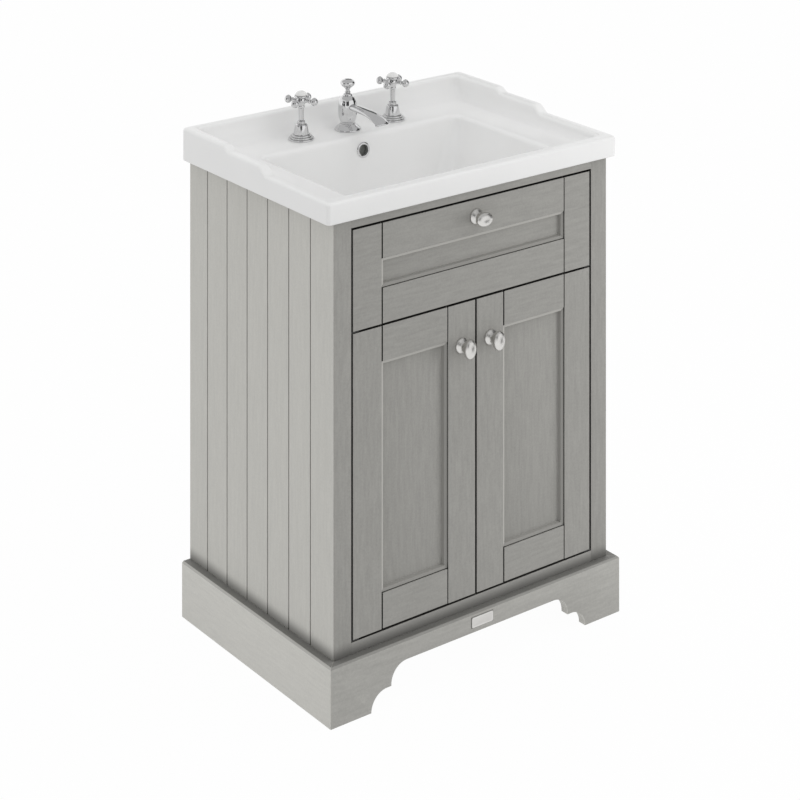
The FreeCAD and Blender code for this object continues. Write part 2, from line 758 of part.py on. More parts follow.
# Drawer front.
drawer_left = -front_half + d.member
drawer_stile = stile("drawer_stile_left", -front_half, drawer_left, d.drawer_high)
drawer_low_rail = rail("drawer_low_rail", drawer_left, -drawer_left, as_size(0), d.member)
drawer_rail_foot = d.drawer_high - d.member
drawer_high_rail = rail("drawer_high_rail", drawer_left, -drawer_left, d.drawer_high, drawer_rail_foot)
knob_high = drawer_top - d.knob_drop
bore_for_knob(drawer_high_rail, 0, knob_high - drawer_foot)
for item in (drawer_stile, drawer_low_rail, drawer_high_rail):
    place(item, 0, face, drawer_foot)
nodes.append(group("drawer_stiles", drawer_stile, mirror("drawer_stile_right", drawer_stile)))
nodes.append(group("drawer_rails", drawer_low_rail, drawer_high_rail))
nodes.append(panel("drawer_panel", drawer_left, -drawer_left, d.drawer_high, drawer_foot))
nodes.append(knob("drawer_knob", 0, knob_high, d.knob_long, d.knob_short))

# Drawer box: a shallow tray under the bowl, open behind so that it passes the waste on both sides.
tray_front = front_back
tray_back = back_front - d.tray_back_room
tray_low = drawer_foot + d.tray_foot
tray_top = floor_z - d.bowl_wall - d.tray_room
tray_half = open_half - d.runner_wide
tray_in = tray_half - d.tray_wall
notch_half = d.notch_wide / 2
notch_wall = notch_half + d.tray_wall
notch_start = waste_y - d.notch_room
tray_side = box("tray_side_left", -tray_half, -tray_in, tray_front, tray_back, tray_low, tray_top)
nodes.append(group("drawer_sides", tray_side, mirror("tray_side_right", tray_side)))
floor_front = tray_front + d.tray_wall
nodes.append(box("drawer_box_front", -tray_in, tray_in, tray_front, floor_front, tray_low, tray_top))
floor_top = tray_low + d.tray_base
end_front = tray_back - d.tray_wall
notch_front = notch_start - d.tray_wall
notch_side = box("notch_side_left", -notch_wall, -notch_half, notch_start, tray_back, floor_top, tray_top)
tray_end = box("tray_end_left", -tray_in, -notch_wall, end_front, tray_back, floor_top, tray_top)
notch_bar = box("notch_bar", -notch_wall, notch_wall, notch_front, notch_start, floor_top, tray_top)
inner_walls = [notch_side, tray_end]
inner_walls += [mirror(piece.Name.replace("left", "right"), piece) for piece in inner_walls]
nodes.append(group("drawer_inner_walls", notch_bar, *inner_walls))
tray_floor = body("drawer_bottom")
floor_plan = [
    (-tray_in, floor_front),
    (tray_in, floor_front),
    (tray_in, tray_back),
    (notch_half, tray_back),
    (notch_half, notch_start),
    (-notch_half, notch_start),
    (-notch_half, tray_back),
    (-tray_in, tray_back),
]
pad(tray_floor, outline(tray_floor, "XY_Plane", floor_plan), d.tray_base)
place(tray_floor, 0, 0, tray_low)
nodes.append(tray_floor)

# Drawer runners: a fixed rail on a packer, a slider in it and a member on the drawer.
runner_front = tray_front + d.runner_set
runner_mid = (tray_low + tray_top) / 2
runner_back = tray_back
runner_long = runner_back - runner_front
rail_half = d.runner_high / 2
packer = box("packer_left", -inner, -open_half, rail_back, runner_back, runner_mid - rail_half,
             runner_mid + rail_half)
nodes.append(group("runner_packers", packer, mirror("packer_right", packer)))


def channel(label, web, lips, half_high):
    """Channel along Y with its web at one side and its lips reaching to the other."""
    item = body(label)
    side = 1 if as_size(lips).number > as_size(web).number else -1
    sheet_in = web + d.runner_sheet * side
    section = [
        (web, -half_high),
        (lips, -half_high),
        (lips, d.runner_sheet - half_high),
        (sheet_in, d.runner_sheet - half_high),
        (sheet_in, half_high - d.runner_sheet),
        (lips, half_high - d.runner_sheet),
        (lips, half_high),
        (web, half_high),
    ]
    pad(item, outline(item, "XZ_Plane", section), runner_long, True)
    return place(item, -open_half, runner_front, runner_mid)


slider_half = rail_half - d.runner_sheet - d.runner_play
drawer_member_half = slider_half - d.runner_sheet - d.runner_play
slider_web = d.runner_sheet + d.runner_web_play
runner_rail = channel("runner_rail_left", as_size(0), d.rail_lip, rail_half)
nodes.append(group("runner_rails", runner_rail, mirror("runner_rail_right", runner_rail)))
slider = channel("runner_slider_left", slider_web, d.slider_lip, slider_half)
nodes += [slider, mirror("runner_slider_right", slider)]
member_lip = slider_web + d.runner_sheet + d.runner_web_play
drawer_member = channel("runner_member_left", d.runner_wide, member_lip, drawer_member_half)
nodes.append(group("drawer_runners", drawer_member, mirror("runner_member_right", drawer_member)))

# Basin: one ceramic piece with a stepped rim, a sunk deck and a bowl that hangs into the cabinet.
basin = body("basin")
rim_mid = d.rim_low + d.rise_one
rim_high = rim_mid + d.rise_two


def step_arcs(foot, long, low, high):
    """Two equal arcs, level at both ends, that lead from a higher rim down to a lower one."""
    rise = high - low
    slant = root(long * long + rise * rise)
    bulge = slant * slant / (rise * 4) * (1 - long / slant)
    aside = bulge * rise / slant
    above = bulge * long / slant
    return [
        (foot + long / 2, low + rise / 2, foot + long * 0.75 - aside, low + rise * 0.75 + above),
        (foot, low, foot + long * 0.25 + aside, low + rise * 0.25 - above),
    ]


rim_side = [
    (0, 0),
    (basin_depth, 0),
    (basin_depth, rim_high),
    (d.step_two + d.step_two_long, rim_high),
    *step_arcs(d.step_two, d.step_two_long, rim_mid, rim_high),
    (d.step_one + d.step_one_long, rim_mid),
    *step_arcs(d.step_one, d.step_one_long, d.rim_low, rim_mid),
    (0, d.rim_low),
]
pad(basin, outline(basin, "YZ_Plane", rim_side, -basin_half), basin_half * 2)
soften(basin, "Fillet", d.basin_corner,
       lambda edge: near(edge.BoundBox.ZMin, 0) and edge.BoundBox.ZLength > d.deck.number)
sunk_half = basin_half - d.side_rim
sunk = rounded(-sunk_half, sunk_half, d.lip, basin_depth - d.upstand, d.recess_corner)
pocket(basin, outline(basin, "XY_Plane", sunk, d.deck), rim_high, True)
soften(basin, "Fillet", d.deck_cove,
       lambda edge: near(edge.BoundBox.ZMin, d.deck) and near(edge.BoundBox.ZMax, d.deck))


def bowl_section(spread, high, part):
    """Rounded outline of the bowl at one height; part runs from 0 at the mouth to 1 at the floor."""
    side = d.mouth_half - d.side_lean * part + spread
    front = d.mouth_front + d.front_lean * part - spread
    back = mouth_back - d.back_lean * part + spread
    corner = d.mouth_corner + (d.floor_corner - d.mouth_corner) * part
    return outline(basin, "XY_Plane", rounded(-side, side, front, back, corner), high)


loft(basin, "AdditiveLoft", [
    bowl_section(d.bowl_wall, d.deck / 2, 0),
    bowl_section(d.bowl_wall, floor_high - d.bowl_wall, 1),
])
loft(basin, "SubtractiveLoft", [bowl_section(as_size(0), d.deck, 0), bowl_section(as_size(0), floor_high, 1)])
soften(basin, "Fillet", d.floor_round,
       lambda edge: near(edge.BoundBox.ZMin, floor_high) and near(edge.BoundBox.ZMax, floor_high))
mouth_reach = d.mouth_half.number + 0.01
soften(basin, "Fillet", d.mouth_round,
       lambda edge: near(edge.BoundBox.ZMin, d.deck) and near(edge.BoundBox.ZMax, d.deck)
       and edge.BoundBox.XMax < mouth_reach and edge.BoundBox.YMax < mouth_back.number + 0.01)
for shift in (-1, 0, 1):
    tap_drill = circle(basin, "XY_Plane", d.tap_pitch * shift, basin_depth - d.tap_in, d.shank + d.tap_room)
    pocket(basin, tap_drill, d.deck, True)
waste_drill = circle(basin, "XY_Plane", 0, waste_back, d.waste_tail + d.waste_room, floor_high - d.bowl_wall)
pocket(basin, waste_drill, d.bowl_wall, True)
lean = d.back_lean / d.bowl_deep
overflow_y = mouth_back - lean * d.overflow_drop
ring_out = d.overflow + d.ring_lap
ring_bore = d.overflow - d.ring_wall
overflow_drill = circle(basin, "XZ_Plane", 0, d.deck - d.overflow_drop, d.overflow, ring_out - overflow_y)
pocket(basin, overflow_drill, ring_out + d.overflow_deep)
soften(basin, "Fillet", d.rim_round,
       lambda edge: edge.BoundBox.ZMin > d.rim_low.number - 0.01
       and (edge.BoundBox.YLength > 0.01 or edge.BoundBox.XLength > d.side_rim.number * 3))
place(basin, 0, basin_front, d.cabinet_top)
nodes.append(basin)
ring = body("overflow_ring")
revolve(ring, [
    (ring_bore, -d.overflow_deep / 2),
    (d.overflow - d.ring_slack, -d.overflow_deep / 2),
    (d.overflow - d.ring_slack, 0),
    (ring_out, 0),
    (ring_bore, 0, (ring_out + ring_bore) / 2, d.ring_thick),
])
place(ring, 0, basin_front + overflow_y, deck_top - d.overflow_drop, (1, 0, 0), 90)
tilt = Size(90 - math.degrees(math.atan(lean.number)), f"(90 - atan({lean.text}) / 1 deg)")
bind(ring, ".Placement.Rotation.Angle", tilt)
nodes.append(ring)

# Waste: flanged body through the bowl floor with a side socket for the lever, its seal and its nut.
boss_end = d.lever_pivot + d.lever_socket + d.socket_end
waste = body("waste_body")
revolve(waste, [
    (d.waste_bore, -d.waste_long),
    (d.tail_end, -d.waste_long),
    (d.tail_end, d.tail_end_long - d.waste_long),
    (d.waste_tail, d.tail_end_long - d.waste_long),
    (d.waste_tail, 0),
    (d.waste_flange, 0),
    (d.waste_flange, 1.2),
    (d.waste_tail + 2, 3, d.waste_flange - 3, 2.6),
    (d.waste_bore + 1, 3),
    (d.waste_bore, 2),
])
boss_start = (d.waste_bore + d.waste_tail) / 2
boss_ring = circle(waste, "XZ_Plane", 0, -d.lever_drop, d.lever_boss, -boss_start)
pad(waste, boss_ring, boss_end - boss_start, True)
socket_ring = circle(waste, "XZ_Plane", 0, -d.lever_drop, d.lever_socket, -boss_end)
pocket(waste, socket_ring, boss_end - d.waste_bore / 2, True)
place(waste, 0, waste_y, floor_z)
nodes.append(waste)
seal_top = floor_z - d.bowl_wall
seal_disc = cylinder("seal_disc", "Z", 0, waste_y, seal_top - d.seal_thick, d.waste_flange, d.seal_thick)
seal_bore = cylinder("seal_bore", "Z", 0, waste_y, seal_top - d.seal_thick, d.waste_tail, d.seal_thick)
waste_seal = cut("waste_seal", seal_disc, seal_bore)
nut_low = seal_top - d.seal_thick - d.waste_nut_high
nut_hex = hexagon("waste_nut_hex", 0, waste_y, nut_low, d.waste_nut, d.waste_nut_high)
nut_bore = cylinder("waste_nut_bore", "Z", 0, waste_y, nut_low, d.waste_tail, d.waste_nut_high)
cap_start = waste_y + boss_end - d.cap_grip
cap_long = d.cap_grip + d.cap_end
lever_z = floor_z - d.lever_drop
cap_blank = cylinder("lever_cap_blank", "Y", 0, cap_start, lever_z, d.lever_boss + d.cap_end, cap_long)
cap_bore = cylinder("lever_cap_bore", "Y", 0, cap_start, lever_z, d.lever_boss, d.cap_grip)
cap_way = cylinder("lever_cap_way", "Y", 0, cap_start, lever_z, d.cap_way, cap_long)
waste_nut = cut("waste_nut", nut_hex, nut_bore)
nodes.append(group("waste_nuts", waste_nut, cut("lever_cap", cap_blank, cap_bore, cap_way)))

# Plug and the lever that works it.
plug_cap = body("plug_cap")
plug_edge = d.waste_bore - d.plug_room
revolve(plug_cap, [
    (0, -d.lever_drop + 10),
    (d.stem, -d.lever_drop + 10),
    (d.stem, 2),
    (plug_edge - 4, 4),
    (plug_edge, 4),
    (plug_edge, 5.5),
    (0.8, 8, 9, 7.26),
    (0, 8),
])
place(plug_cap, 0, waste_y, floor_z)
tongue_front = waste_y - d.tongue_thick / 2
plug_tongue = box("plug_tongue", -d.tongue_half, d.tongue_half, tongue_front, tongue_front + d.tongue_thick,
                  lever_z - d.tongue_half, lever_z + d.tongue_rise)
plug_eye = cylinder("plug_eye", "Y", 0, tongue_front, lever_z, d.eye, d.tongue_thick)
nodes.append(cut("plug", fuse("plug_blank", plug_cap, plug_tongue), plug_eye))
pivot_back = waste_y + d.lever_pivot
lever_start = waste_y - d.lever_tip
ball_radius = d.lever_socket - d.fit_slack
lever_ball = sphere("lever_ball", 0, pivot_back, lever_z, ball_radius)
lever_long = tap_y + d.lever_tail - lever_start
lever_bar = cylinder("lever_bar", "Y", 0, lever_start, lever_z, d.lever_rod, lever_long)
centre_marks = [
    cylinder(f"centre_mark_{name}", "X", x, pivot_back, lever_z, d.dimple, d.dimple_deep)
    for name, x in (("left", -ball_radius), ("right", ball_radius - d.dimple_deep))
]
nodes.append(cut("plug_lever", fuse("lever_blank", lever_ball, lever_bar), *centre_marks))

# Lift rod with its knob, through the spout, and the strap that joins it to the lever.
lift_rod = body("lift_rod")
rod_end = -d.strap_top - d.rod_seat
knob_foot = d.spout_crown + d.rod_stand
revolve(lift_rod, [
    (0, rod_end),
    (d.rod, rod_end),
    (d.rod, knob_foot),
    (3.8, knob_foot + 1.5, 3.5, knob_foot + 0.6),
    (3.8, knob_foot + 4),
    (5, knob_foot + 8, 4, knob_foot + 6.5),
    (12.8, knob_foot + 16.5, 8, knob_foot + 11),
    (12.8, knob_foot + 18),
    (0.8, knob_foot + 23, 7, knob_foot + 21.66),
    (0, knob_foot + 23),
])
place(lift_rod, 0, tap_y, deck_top)
nodes.append(lift_rod)
strap_z = deck_top - d.strap_top
strap_half = d.strap_wide / 2
strap_front = tap_y - d.strap_thick / 2
collar_low = strap_z - d.collar_long
collar = cylinder("strap_collar", "Z", 0, tap_y, collar_low, strap_half, d.collar_long)
blade = box("strap_blade", -strap_half, strap_half, strap_front, strap_front + d.strap_thick,
            lever_z - d.strap_past, collar_low + d.blade_lap)
collar_bore = cylinder("strap_bore", "Z", 0, tap_y, strap_z - d.rod_seat, d.rod, d.rod_seat)
strap_eye = cylinder("strap_eye", "Y", 0, strap_front, lever_z, d.eye, d.strap_thick)
nodes.append(cut("lift_strap", fuse("strap_blank", collar, blade), collar_bore, strap_eye))

# Valves: stepped escutcheon and bell above the deck, threaded shank, side port and inlet tail below it.
valve = body("valve_left")
revolve(valve, [
    (0, -d.shank_long - d.inlet_long),
    (d.inlet, -d.shank_long - d.inlet_long),
    (d.inlet, -d.shank_long),
    (d.shank, -d.shank_long),
    (d.shank, 0),
    (22.2, 0),
    (22.2, 3, 23, 1.5),
    (20.2, 4.5),
    (20.2, 7, 21, 5.8),
    (17.6, 8.5),
    (17.6, 11, 18.3, 9.8),
    (15, 13),
    (10, 29, 14, 22),
    (10, 32, 10.6, 30.5),
    (7.5, 34),
    (7.5, 37),
    (d.stem + d.fit_slack, 37),
    (d.stem + d.fit_slack, 16),
    (0, 16),
])
pad(valve, circle(valve, "YZ_Plane", 0, -d.port_drop, d.port), d.port_reach)
place(valve, -d.tap_pitch, tap_y, deck_top)
nodes += [valve, mirror("valve_right", valve)]

# Spout: flared foot, bulb and collar, with a curved arm and a bore for the lift rod.
spout = body("spout")
revolve(spout, [
    (0, -d.spout_shank),
    (d.shank, -d.spout_shank),
    (d.shank, 0),
    (23.7, 0),
    (23.7, 2),
    (9.7, 15, 14.5, 9),
    (12, 54, 16.8, 37),
    (14.5, 55.5),
    (14.5, 58, 15.2, 56.8),
    (12, 59.5),
    (6, d.spout_crown, 10.2, d.spout_crown - 2.5),
    (0, d.spout_crown),
])
arm_path = attach(spout, "YZ_Plane", 0)
arm_axis = d.spout_root - d.arm_sink
arm_crest = (-d.spout_reach * 0.52, d.spout_root + d.arm_arch)
trace(arm_path, [(0, arm_axis), (d.nozzle / 2 - d.spout_reach, d.spout_tip, *arm_crest)], False)
arm_ring = circle(spout, "XZ_Plane", 0, arm_axis, d.spout_tube)
arm_sweep = feature(spout, "AdditivePipe", arm_ring)
arm_sweep.Spine = (arm_path, ["Edge1"])
nozzle_low = d.spout_tip - d.nozzle_drop
nozzle_y = d.nozzle - d.spout_reach
pad(spout, circle(spout, "XY_Plane", 0, nozzle_y, d.nozzle, nozzle_low), d.nozzle_drop * 2)
pocket(spout, circle(spout, "XY_Plane", 0, nozzle_y, d.outlet, nozzle_low), d.nozzle_drop * 1.4, True)
for side in (False, True):
    pad(spout, circle(spout, "YZ_Plane", 0, -d.port_drop, d.port), d.port_reach, side)
rod_drill = circle(spout, "XY_Plane", 0, 0, d.rod + d.fit_slack, -d.spout_shank)
pocket(spout, rod_drill, d.spout_shank + d.spout_crown + d.rod_stand, True)
place(spout, 0, tap_y, deck_top)
nodes.append(spout)

# Feed tubes between the ports, and the washers and nuts that clamp the fittings to the deck.
port_z = deck_top - d.port_drop
feed_long = d.tap_pitch - d.port_reach * 2
feeds = []
for name, start in (("left", d.port_reach - d.tap_pitch), ("right", d.port_reach)):
    tube = cylinder(f"feed_{name}_tube", "X", start, tap_y, port_z, d.feed, feed_long)
    hollow = cylinder(f"feed_{name}_bore", "X", start, tap_y, port_z, d.feed_bore, feed_long)
    feeds.append(cut(f"feed_{name}", tube, hollow))
nodes.append(group("feed_tubes", *feeds))
washers = []
nuts = []
for name, shift in (("left", -1), ("middle", 0), ("right", 1)):
    x = d.tap_pitch * shift
    low = d.cabinet_top - d.washer_thick
    disc = cylinder(f"washer_{name}_disc", "Z", x, tap_y, low, d.washer, d.washer_thick)
    disc_bore = cylinder(f"washer_{name}_bore", "Z", x, tap_y, low, d.shank + d.washer_room, d.washer_thick)
    washers.append(cut(f"washer_{name}", disc, disc_bore))
    prism = hexagon(f"nut_{name}_hex", x, tap_y, low - d.nut_high, d.nut_across, d.nut_high)
    thread = cylinder(f"nut_{name}_bore", "Z", x, tap_y, low - d.nut_high, d.shank, d.nut_high)
    nuts.append(cut(f"nut_{name}", prism, thread))
nodes += [group("rubber_seals", *washers, waste_seal), group("deck_nuts", *nuts)]


# Cross handles with ball ends, each with a white button.
def handle(name, x):
    hub = body(f"hub_{name}")
    revolve(hub, [
        (0, 19),
        (d.stem, 19),
        (d.stem, 57),
        (6, 58.5),
        (6, 61),
        (8.6, d.arm_high, 8, 64),
        (7.5, 74, 8.4, 72),
        (11.8, 75.5),
        (11.8, 78.5, 12.4, 77),
        (0, 78.5),
    ])
    bars = [
        cylinder(f"bar_{name}_x", "X", -d.arm, 0, d.arm_high, d.arm_thick, d.arm * 2),
        cylinder(f"bar_{name}_y", "Y", 0, -d.arm, d.arm_high, d.arm_thick, d.arm * 2),
    ]
    ends = [
        sphere(f"ball_{name}_{index}", d.arm * a, d.arm * b, d.arm_high, d.ball)
        for index, (a, b) in enumerate(((1, 0), (0, 1), (-1, 0), (0, -1)))
    ]
    cross = fuse(f"handle_{name}", hub, *bars, *ends)
    place(cross, x, tap_y, deck_top, (0, 0, 1), 0)
    bind(cross, ".Placement.Rotation.Angle", d.handle_turn)
    button = body(f"button_{name}")
    revolve(button, [(0, 78.5), (10.8, 78.5), (10.8, 80), (0.8, 86, 6.2, 84.4), (0, 86)])
    place(button, x, tap_y, deck_top)
    return [cross, button]


nodes += handle("left", -d.tap_pitch)
nodes += handle("right", d.tap_pitch)

doc.recompute()
for item in doc.Objects:
    if "Invalid" in item.State or "Error" in item.State:
        raise RuntimeError(f"{item.Label} failed: {item.State}")
if len({node.Label for node in nodes}) != len(nodes):
    raise RuntimeError("two nodes share a name")
for node in nodes:
    if node.Shape.isNull() or not node.Shape.isValid() or not node.Shape.Solids:
        raise RuntimeError(f"{node.Label} has no valid solid")
for node in nodes:
    node.Shape.exportStep(f"parts/{node.Label}.step")
print(len(nodes), "nodes written")
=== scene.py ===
import json
import math

import bmesh
import bpy
from mathutils import Matrix, Vector


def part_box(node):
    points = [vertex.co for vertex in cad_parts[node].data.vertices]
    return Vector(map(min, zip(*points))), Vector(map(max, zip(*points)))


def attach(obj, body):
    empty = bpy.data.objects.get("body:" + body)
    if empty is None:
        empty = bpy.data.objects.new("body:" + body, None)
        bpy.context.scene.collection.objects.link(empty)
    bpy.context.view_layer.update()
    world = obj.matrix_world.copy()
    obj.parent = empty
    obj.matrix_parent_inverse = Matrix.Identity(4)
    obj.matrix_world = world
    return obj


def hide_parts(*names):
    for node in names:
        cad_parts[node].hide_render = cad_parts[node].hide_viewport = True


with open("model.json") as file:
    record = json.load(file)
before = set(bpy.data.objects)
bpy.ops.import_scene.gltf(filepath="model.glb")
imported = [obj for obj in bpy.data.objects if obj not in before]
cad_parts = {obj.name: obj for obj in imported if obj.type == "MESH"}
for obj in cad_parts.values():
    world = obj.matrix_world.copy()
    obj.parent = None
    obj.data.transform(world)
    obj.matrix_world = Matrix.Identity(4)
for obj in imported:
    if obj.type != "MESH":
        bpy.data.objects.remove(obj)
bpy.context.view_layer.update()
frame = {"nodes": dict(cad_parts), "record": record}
record = frame["record"]
mm = 0.001
bodyOf = {node: body for body, members in record["behaviour"]["bodies"].items() for node in members}
slotOf = {part["node"]: part["material_slot"] for part in record["subparts"]}
print("frame loaded:", len(frame["nodes"]), "nodes")


# shader wiring

class Wire:  # a socket that can stand in a sum or a product
    def __init__(self, owner, socket):
        self.owner = owner
        self.socket = socket

    def join(self, operation, other):
        return self.owner.node("ShaderNodeMath", {"operation": operation}, {0: self, 1: other})

    def __add__(self, other):
        return self.join("ADD", other)

    def __mul__(self, other):
        return self.join("MULTIPLY", other)

    __radd__ = __add__
    __rmul__ = __mul__


class Tree:  # the nodes of one material or of the world
    def __init__(self, holder):
        holder.use_nodes = True
        self.holder = holder
        self.tree = holder.node_tree

    def node(self, kind, settings=None, sockets=None, output=0):
        item = self.tree.nodes.new(kind)
        for key, value in (settings or {}).items():
            if key == "stops":
                for element, (position, level) in zip(item.color_ramp.elements, value):
                    element.position = position
                    element.color = (level, level, level, 1)
            else:
                setattr(item, key, value)
        for key, value in (sockets or {}).items():
            self.feed(item.inputs[key], value)
        return Wire(self, item.outputs[output])

    def feed(self, socket, value):
        if isinstance(value, Wire):
            self.tree.links.new(value.socket, socket)
        else:
            socket.default_value = value


class Finish(Tree):  # a material around one Principled shader
    def __init__(self, name, **fixed):
        super().__init__(bpy.data.materials.new(name))
        self.shader = self.tree.nodes["Principled BSDF"]
        self.paint(**fixed)

    def paint(self, **values):
        for key, value in values.items():
            self.feed(self.shader.inputs[key.replace("_", " ")], value)

    def spot(self):
        return self.node("ShaderNodeTexCoord", output="Object")

    def noise(self, scale, detail=2.0, roughness=0.55):  # the scale is one number, or one for each axis
        stretch = scale if isinstance(scale, (list, tuple)) else (scale, scale, scale)
        place = self.node("ShaderNodeMapping", {"vector_type": "POINT"},
                          {"Vector": self.spot(), "Scale": stretch})
        sockets = {"Vector": place, "Scale": 1.0, "Detail": detail, "Roughness": roughness}
        return self.node("ShaderNodeTexNoise", None, sockets)

    def rise(self, low, high):  # 0 below the first height, 1 above the second
        height = self.node("ShaderNodeSeparateXYZ", None, {0: self.spot()}, "Z")
        return self.node("ShaderNodeMapRange", {"interpolation_type": "SMOOTHSTEP"},
                         {"Value": height, "From Min": low, "From Max": high})

    def ramp(self, value, low, high):
        return self.node("ShaderNodeValToRGB", {"stops": ((low, 0), (high, 1))}, {0: value})

    def blend(self, first, second, factor):  # sockets 6 and 7 and output 2 are the colours
        return self.node("ShaderNodeMix", {"data_type": "RGBA"}, {0: factor, 6: first, 7: second}, 2)

    def bump(self, height, strength, distance):
        sockets = {"Height": height, "Strength": strength, "Distance": distance}
        self.paint(Normal=self.node("ShaderNodeBump", None, sockets))


def shaded(colour, factor):
    return tuple(channel * factor for channel in colour)


def tint(colour, factor=1.0):
    return (*shaded(colour, factor), 1)


# finishes

# side and plinthSideLit are lighter copies of the front and plinth paint: painted light falling from the left
boardPaint = {"front": (0.347, 0.341, 0.321), "side": (0.612, 0.604, 0.567), "groove": (0.300, 0.296, 0.279),
              "plinth": (0.425, 0.419, 0.394), "plinthSideLit": (0.660, 0.651, 0.612),
              "ledge": (0.215, 0.212, 0.200), "beadLit": 1.42, "beadDim": 0.88, "plinthEdgeShade": 0.72,
              "shine": 0.35, "rough": 0.56, "roughSpread": 0.10,
              "grainWide": 210, "grainLong": 22, "grainDetail": 4.0, "grainRough": 0.62,
              "streakFrom": 0.30, "streakTo": 0.72, "fleck": 330, "fleckDetail": 3.0, "fleckRough": 0.6,
              "cloud": 7, "streakShare": 0.30, "fleckShare": 0.55, "cloudShare": 0.15,
              "streakRelief": 0.55, "fleckRelief": 0.45, "relief": 0.25, "depth": 0.00025,
              "footLow": 0.097, "footHigh": 0.122, "footShade": 0.44}


def addFleck(finish):
    return finish.noise(boardPaint["fleck"], boardPaint["fleckDetail"], boardPaint["fleckRough"])


def makePaint(name, colour, along, contrast=0.26, shadeAtFoot=True):
    look = boardPaint
    finish = Finish(name, Specular_IOR_Level=look["shine"])
    stretch = [look["grainWide"]] * 3
    stretch["xyz".index(along)] = look["grainLong"]
    grain = finish.noise(stretch, look["grainDetail"], look["grainRough"])
    fleck = addFleck(finish)
    cloud = finish.noise(look["cloud"])
    streak = finish.ramp(grain, look["streakFrom"], look["streakTo"])
    shade = streak * look["streakShare"] + fleck * look["fleckShare"] + cloud * look["cloudShare"]
    coat = finish.blend(tint(colour, 1 - contrast), tint(colour, 1 + contrast), shade)
    if shadeAtFoot:  # painted shade just above the plinth, where the boards meet the ledge
        foot = finish.rise(look["footLow"], look["footHigh"])
        coat = finish.blend(tint(colour, look["footShade"]), coat, foot)
    finish.paint(Base_Color=coat, Roughness=look["rough"] + streak * look["roughSpread"])
    finish.bump(streak * look["streakRelief"] + fleck * look["fleckRelief"], look["relief"], look["depth"])
    return finish


paintUp = makePaint("frontPaintUpright", boardPaint["front"], "z")
paintAcross = makePaint("frontPaintAcross", boardPaint["front"], "x")
# a lighter and a darker copy of the front paint: painted highlight on the bead's head and left side, painted
# shade on its foot and right side
beadLit = makePaint("beadPaintLit", shaded(boardPaint["front"], boardPaint["beadLit"]), "x", contrast=0.05)
beadDim = makePaint("beadPaintDim", shaded(boardPaint["front"], boardPaint["beadDim"]), "x", contrast=0.05)
# the side boards take a lighter copy of the front paint as painted light
paintSideLit = makePaint("sideLitPaint", boardPaint["side"], "z", contrast=0.15)
# the grooves of the side boards take a darker paint as painted shade
paintGrooveShade = makePaint("groovePaint", boardPaint["groove"], "z")
# the plinth's end boards, and the plinth faces that look left, take a lighter copy of the plinth paint as
# painted light
paintPlinth = makePaint("plinthPaint", boardPaint["plinth"], "x", shadeAtFoot=False)
paintPlinthSideLit = makePaint("plinthSideLitPaint", boardPaint["plinthSideLit"], "y", contrast=0.15, shadeAtFoot=False)
# the rounded top edge of the plinth takes a darker copy of the paint as painted shade
plinthEdgeShade = makePaint("plinthEdgeShadePaint", shaded(boardPaint["plinth"], boardPaint["plinthEdgeShade"]), "x",
                       shadeAtFoot=False)
plinthSideEdgeShade = makePaint("plinthSideEdgeShadePaint", shaded(boardPaint["plinthSideLit"], boardPaint["plinthEdgeShade"]),
                           "y", contrast=0.15, shadeAtFoot=False)
# the plinth's top ledge takes a darker paint as painted shade under the cupboard
paintLedgeShade = makePaint("ledgePaint", boardPaint["ledge"], "x", shadeAtFoot=False)

edgeShadePaint = {"gap": (0.030, 0.029, 0.027), "dark": 0.85, "light": 1.1, "shine": 0.3, "roughSpread": 0.1,
             "relief": 0.2, "reach": 0.010, "samples": 8, "shut": 0.50, "open": 0.85}


def makeEdgeShade(name, colour):  # painted shade: the paint goes dark where another board stands close before it
    look = edgeShadePaint
    finish = Finish(name, Specular_IOR_Level=look["shine"])
    fleck = addFleck(finish)
    coat = finish.blend(tint(colour, look["dark"]), tint(colour, look["light"]), fleck)
    free = finish.node("ShaderNodeAmbientOcclusion", {"samples": look["samples"]},
                       {"Distance": look["reach"]}, "AO")
    coat = finish.blend(tint(look["gap"]), coat, finish.ramp(free, look["shut"], look["open"]))
    finish.paint(Base_Color=coat, Roughness=boardPaint["rough"] + fleck * look["roughSpread"])
    finish.bump(fleck, look["relief"], boardPaint["depth"])
    return finish


paintEdgeShade = makeEdgeShade("edgeShadePaint", boardPaint["front"])

insidePaint = {"colour": (0.42, 0.41, 0.39), "dark": 0.93, "light": 1.06, "shine": 0.4, "rough": 0.42,
               "roughSpread": 0.12, "fleck": 420, "fleckShare": 0.6, "cloud": 9, "cloudShare": 0.4,
               "relief": 0.12, "depth": 0.0001}


def makeInside(name):
    look = insidePaint
    finish = Finish(name, Specular_IOR_Level=look["shine"])
    fleck = finish.noise(look["fleck"])
    shade = fleck * look["fleckShare"] + finish.noise(look["cloud"]) * look["cloudShare"]
    dark, light = tint(look["colour"], look["dark"]), tint(look["colour"], look["light"])
    finish.paint(Base_Color=finish.blend(dark, light, shade),
                 Roughness=look["rough"] + fleck * look["roughSpread"])
    finish.bump(fleck, look["relief"], look["depth"])
    return finish


insideBoard = makeInside("insideBoard")

glaze = {"cloud": 11, "dark": 0.975, "light": 1.025, "coat": 0.22, "coatSpread": 0.06, "coatRough": 0.12,
         "ripple": 46, "roughSpread": 0.06, "relief": 0.04, "depth": 0.0004}


def makeGlaze(name, colour, rough):
    finish = Finish(name, IOR=1.5, Coat_Roughness=glaze["coatRough"])
    cloud = finish.noise(glaze["cloud"])
    ripple = finish.noise(glaze["ripple"])
    finish.paint(Base_Color=finish.blend(tint(colour, glaze["dark"]), tint(colour, glaze["light"]), cloud),
                 Roughness=rough + ripple * glaze["roughSpread"],
                 Coat_Weight=glaze["coat"] + cloud * glaze["coatSpread"])
    finish.bump(ripple, glaze["relief"], glaze["depth"])
    return finish


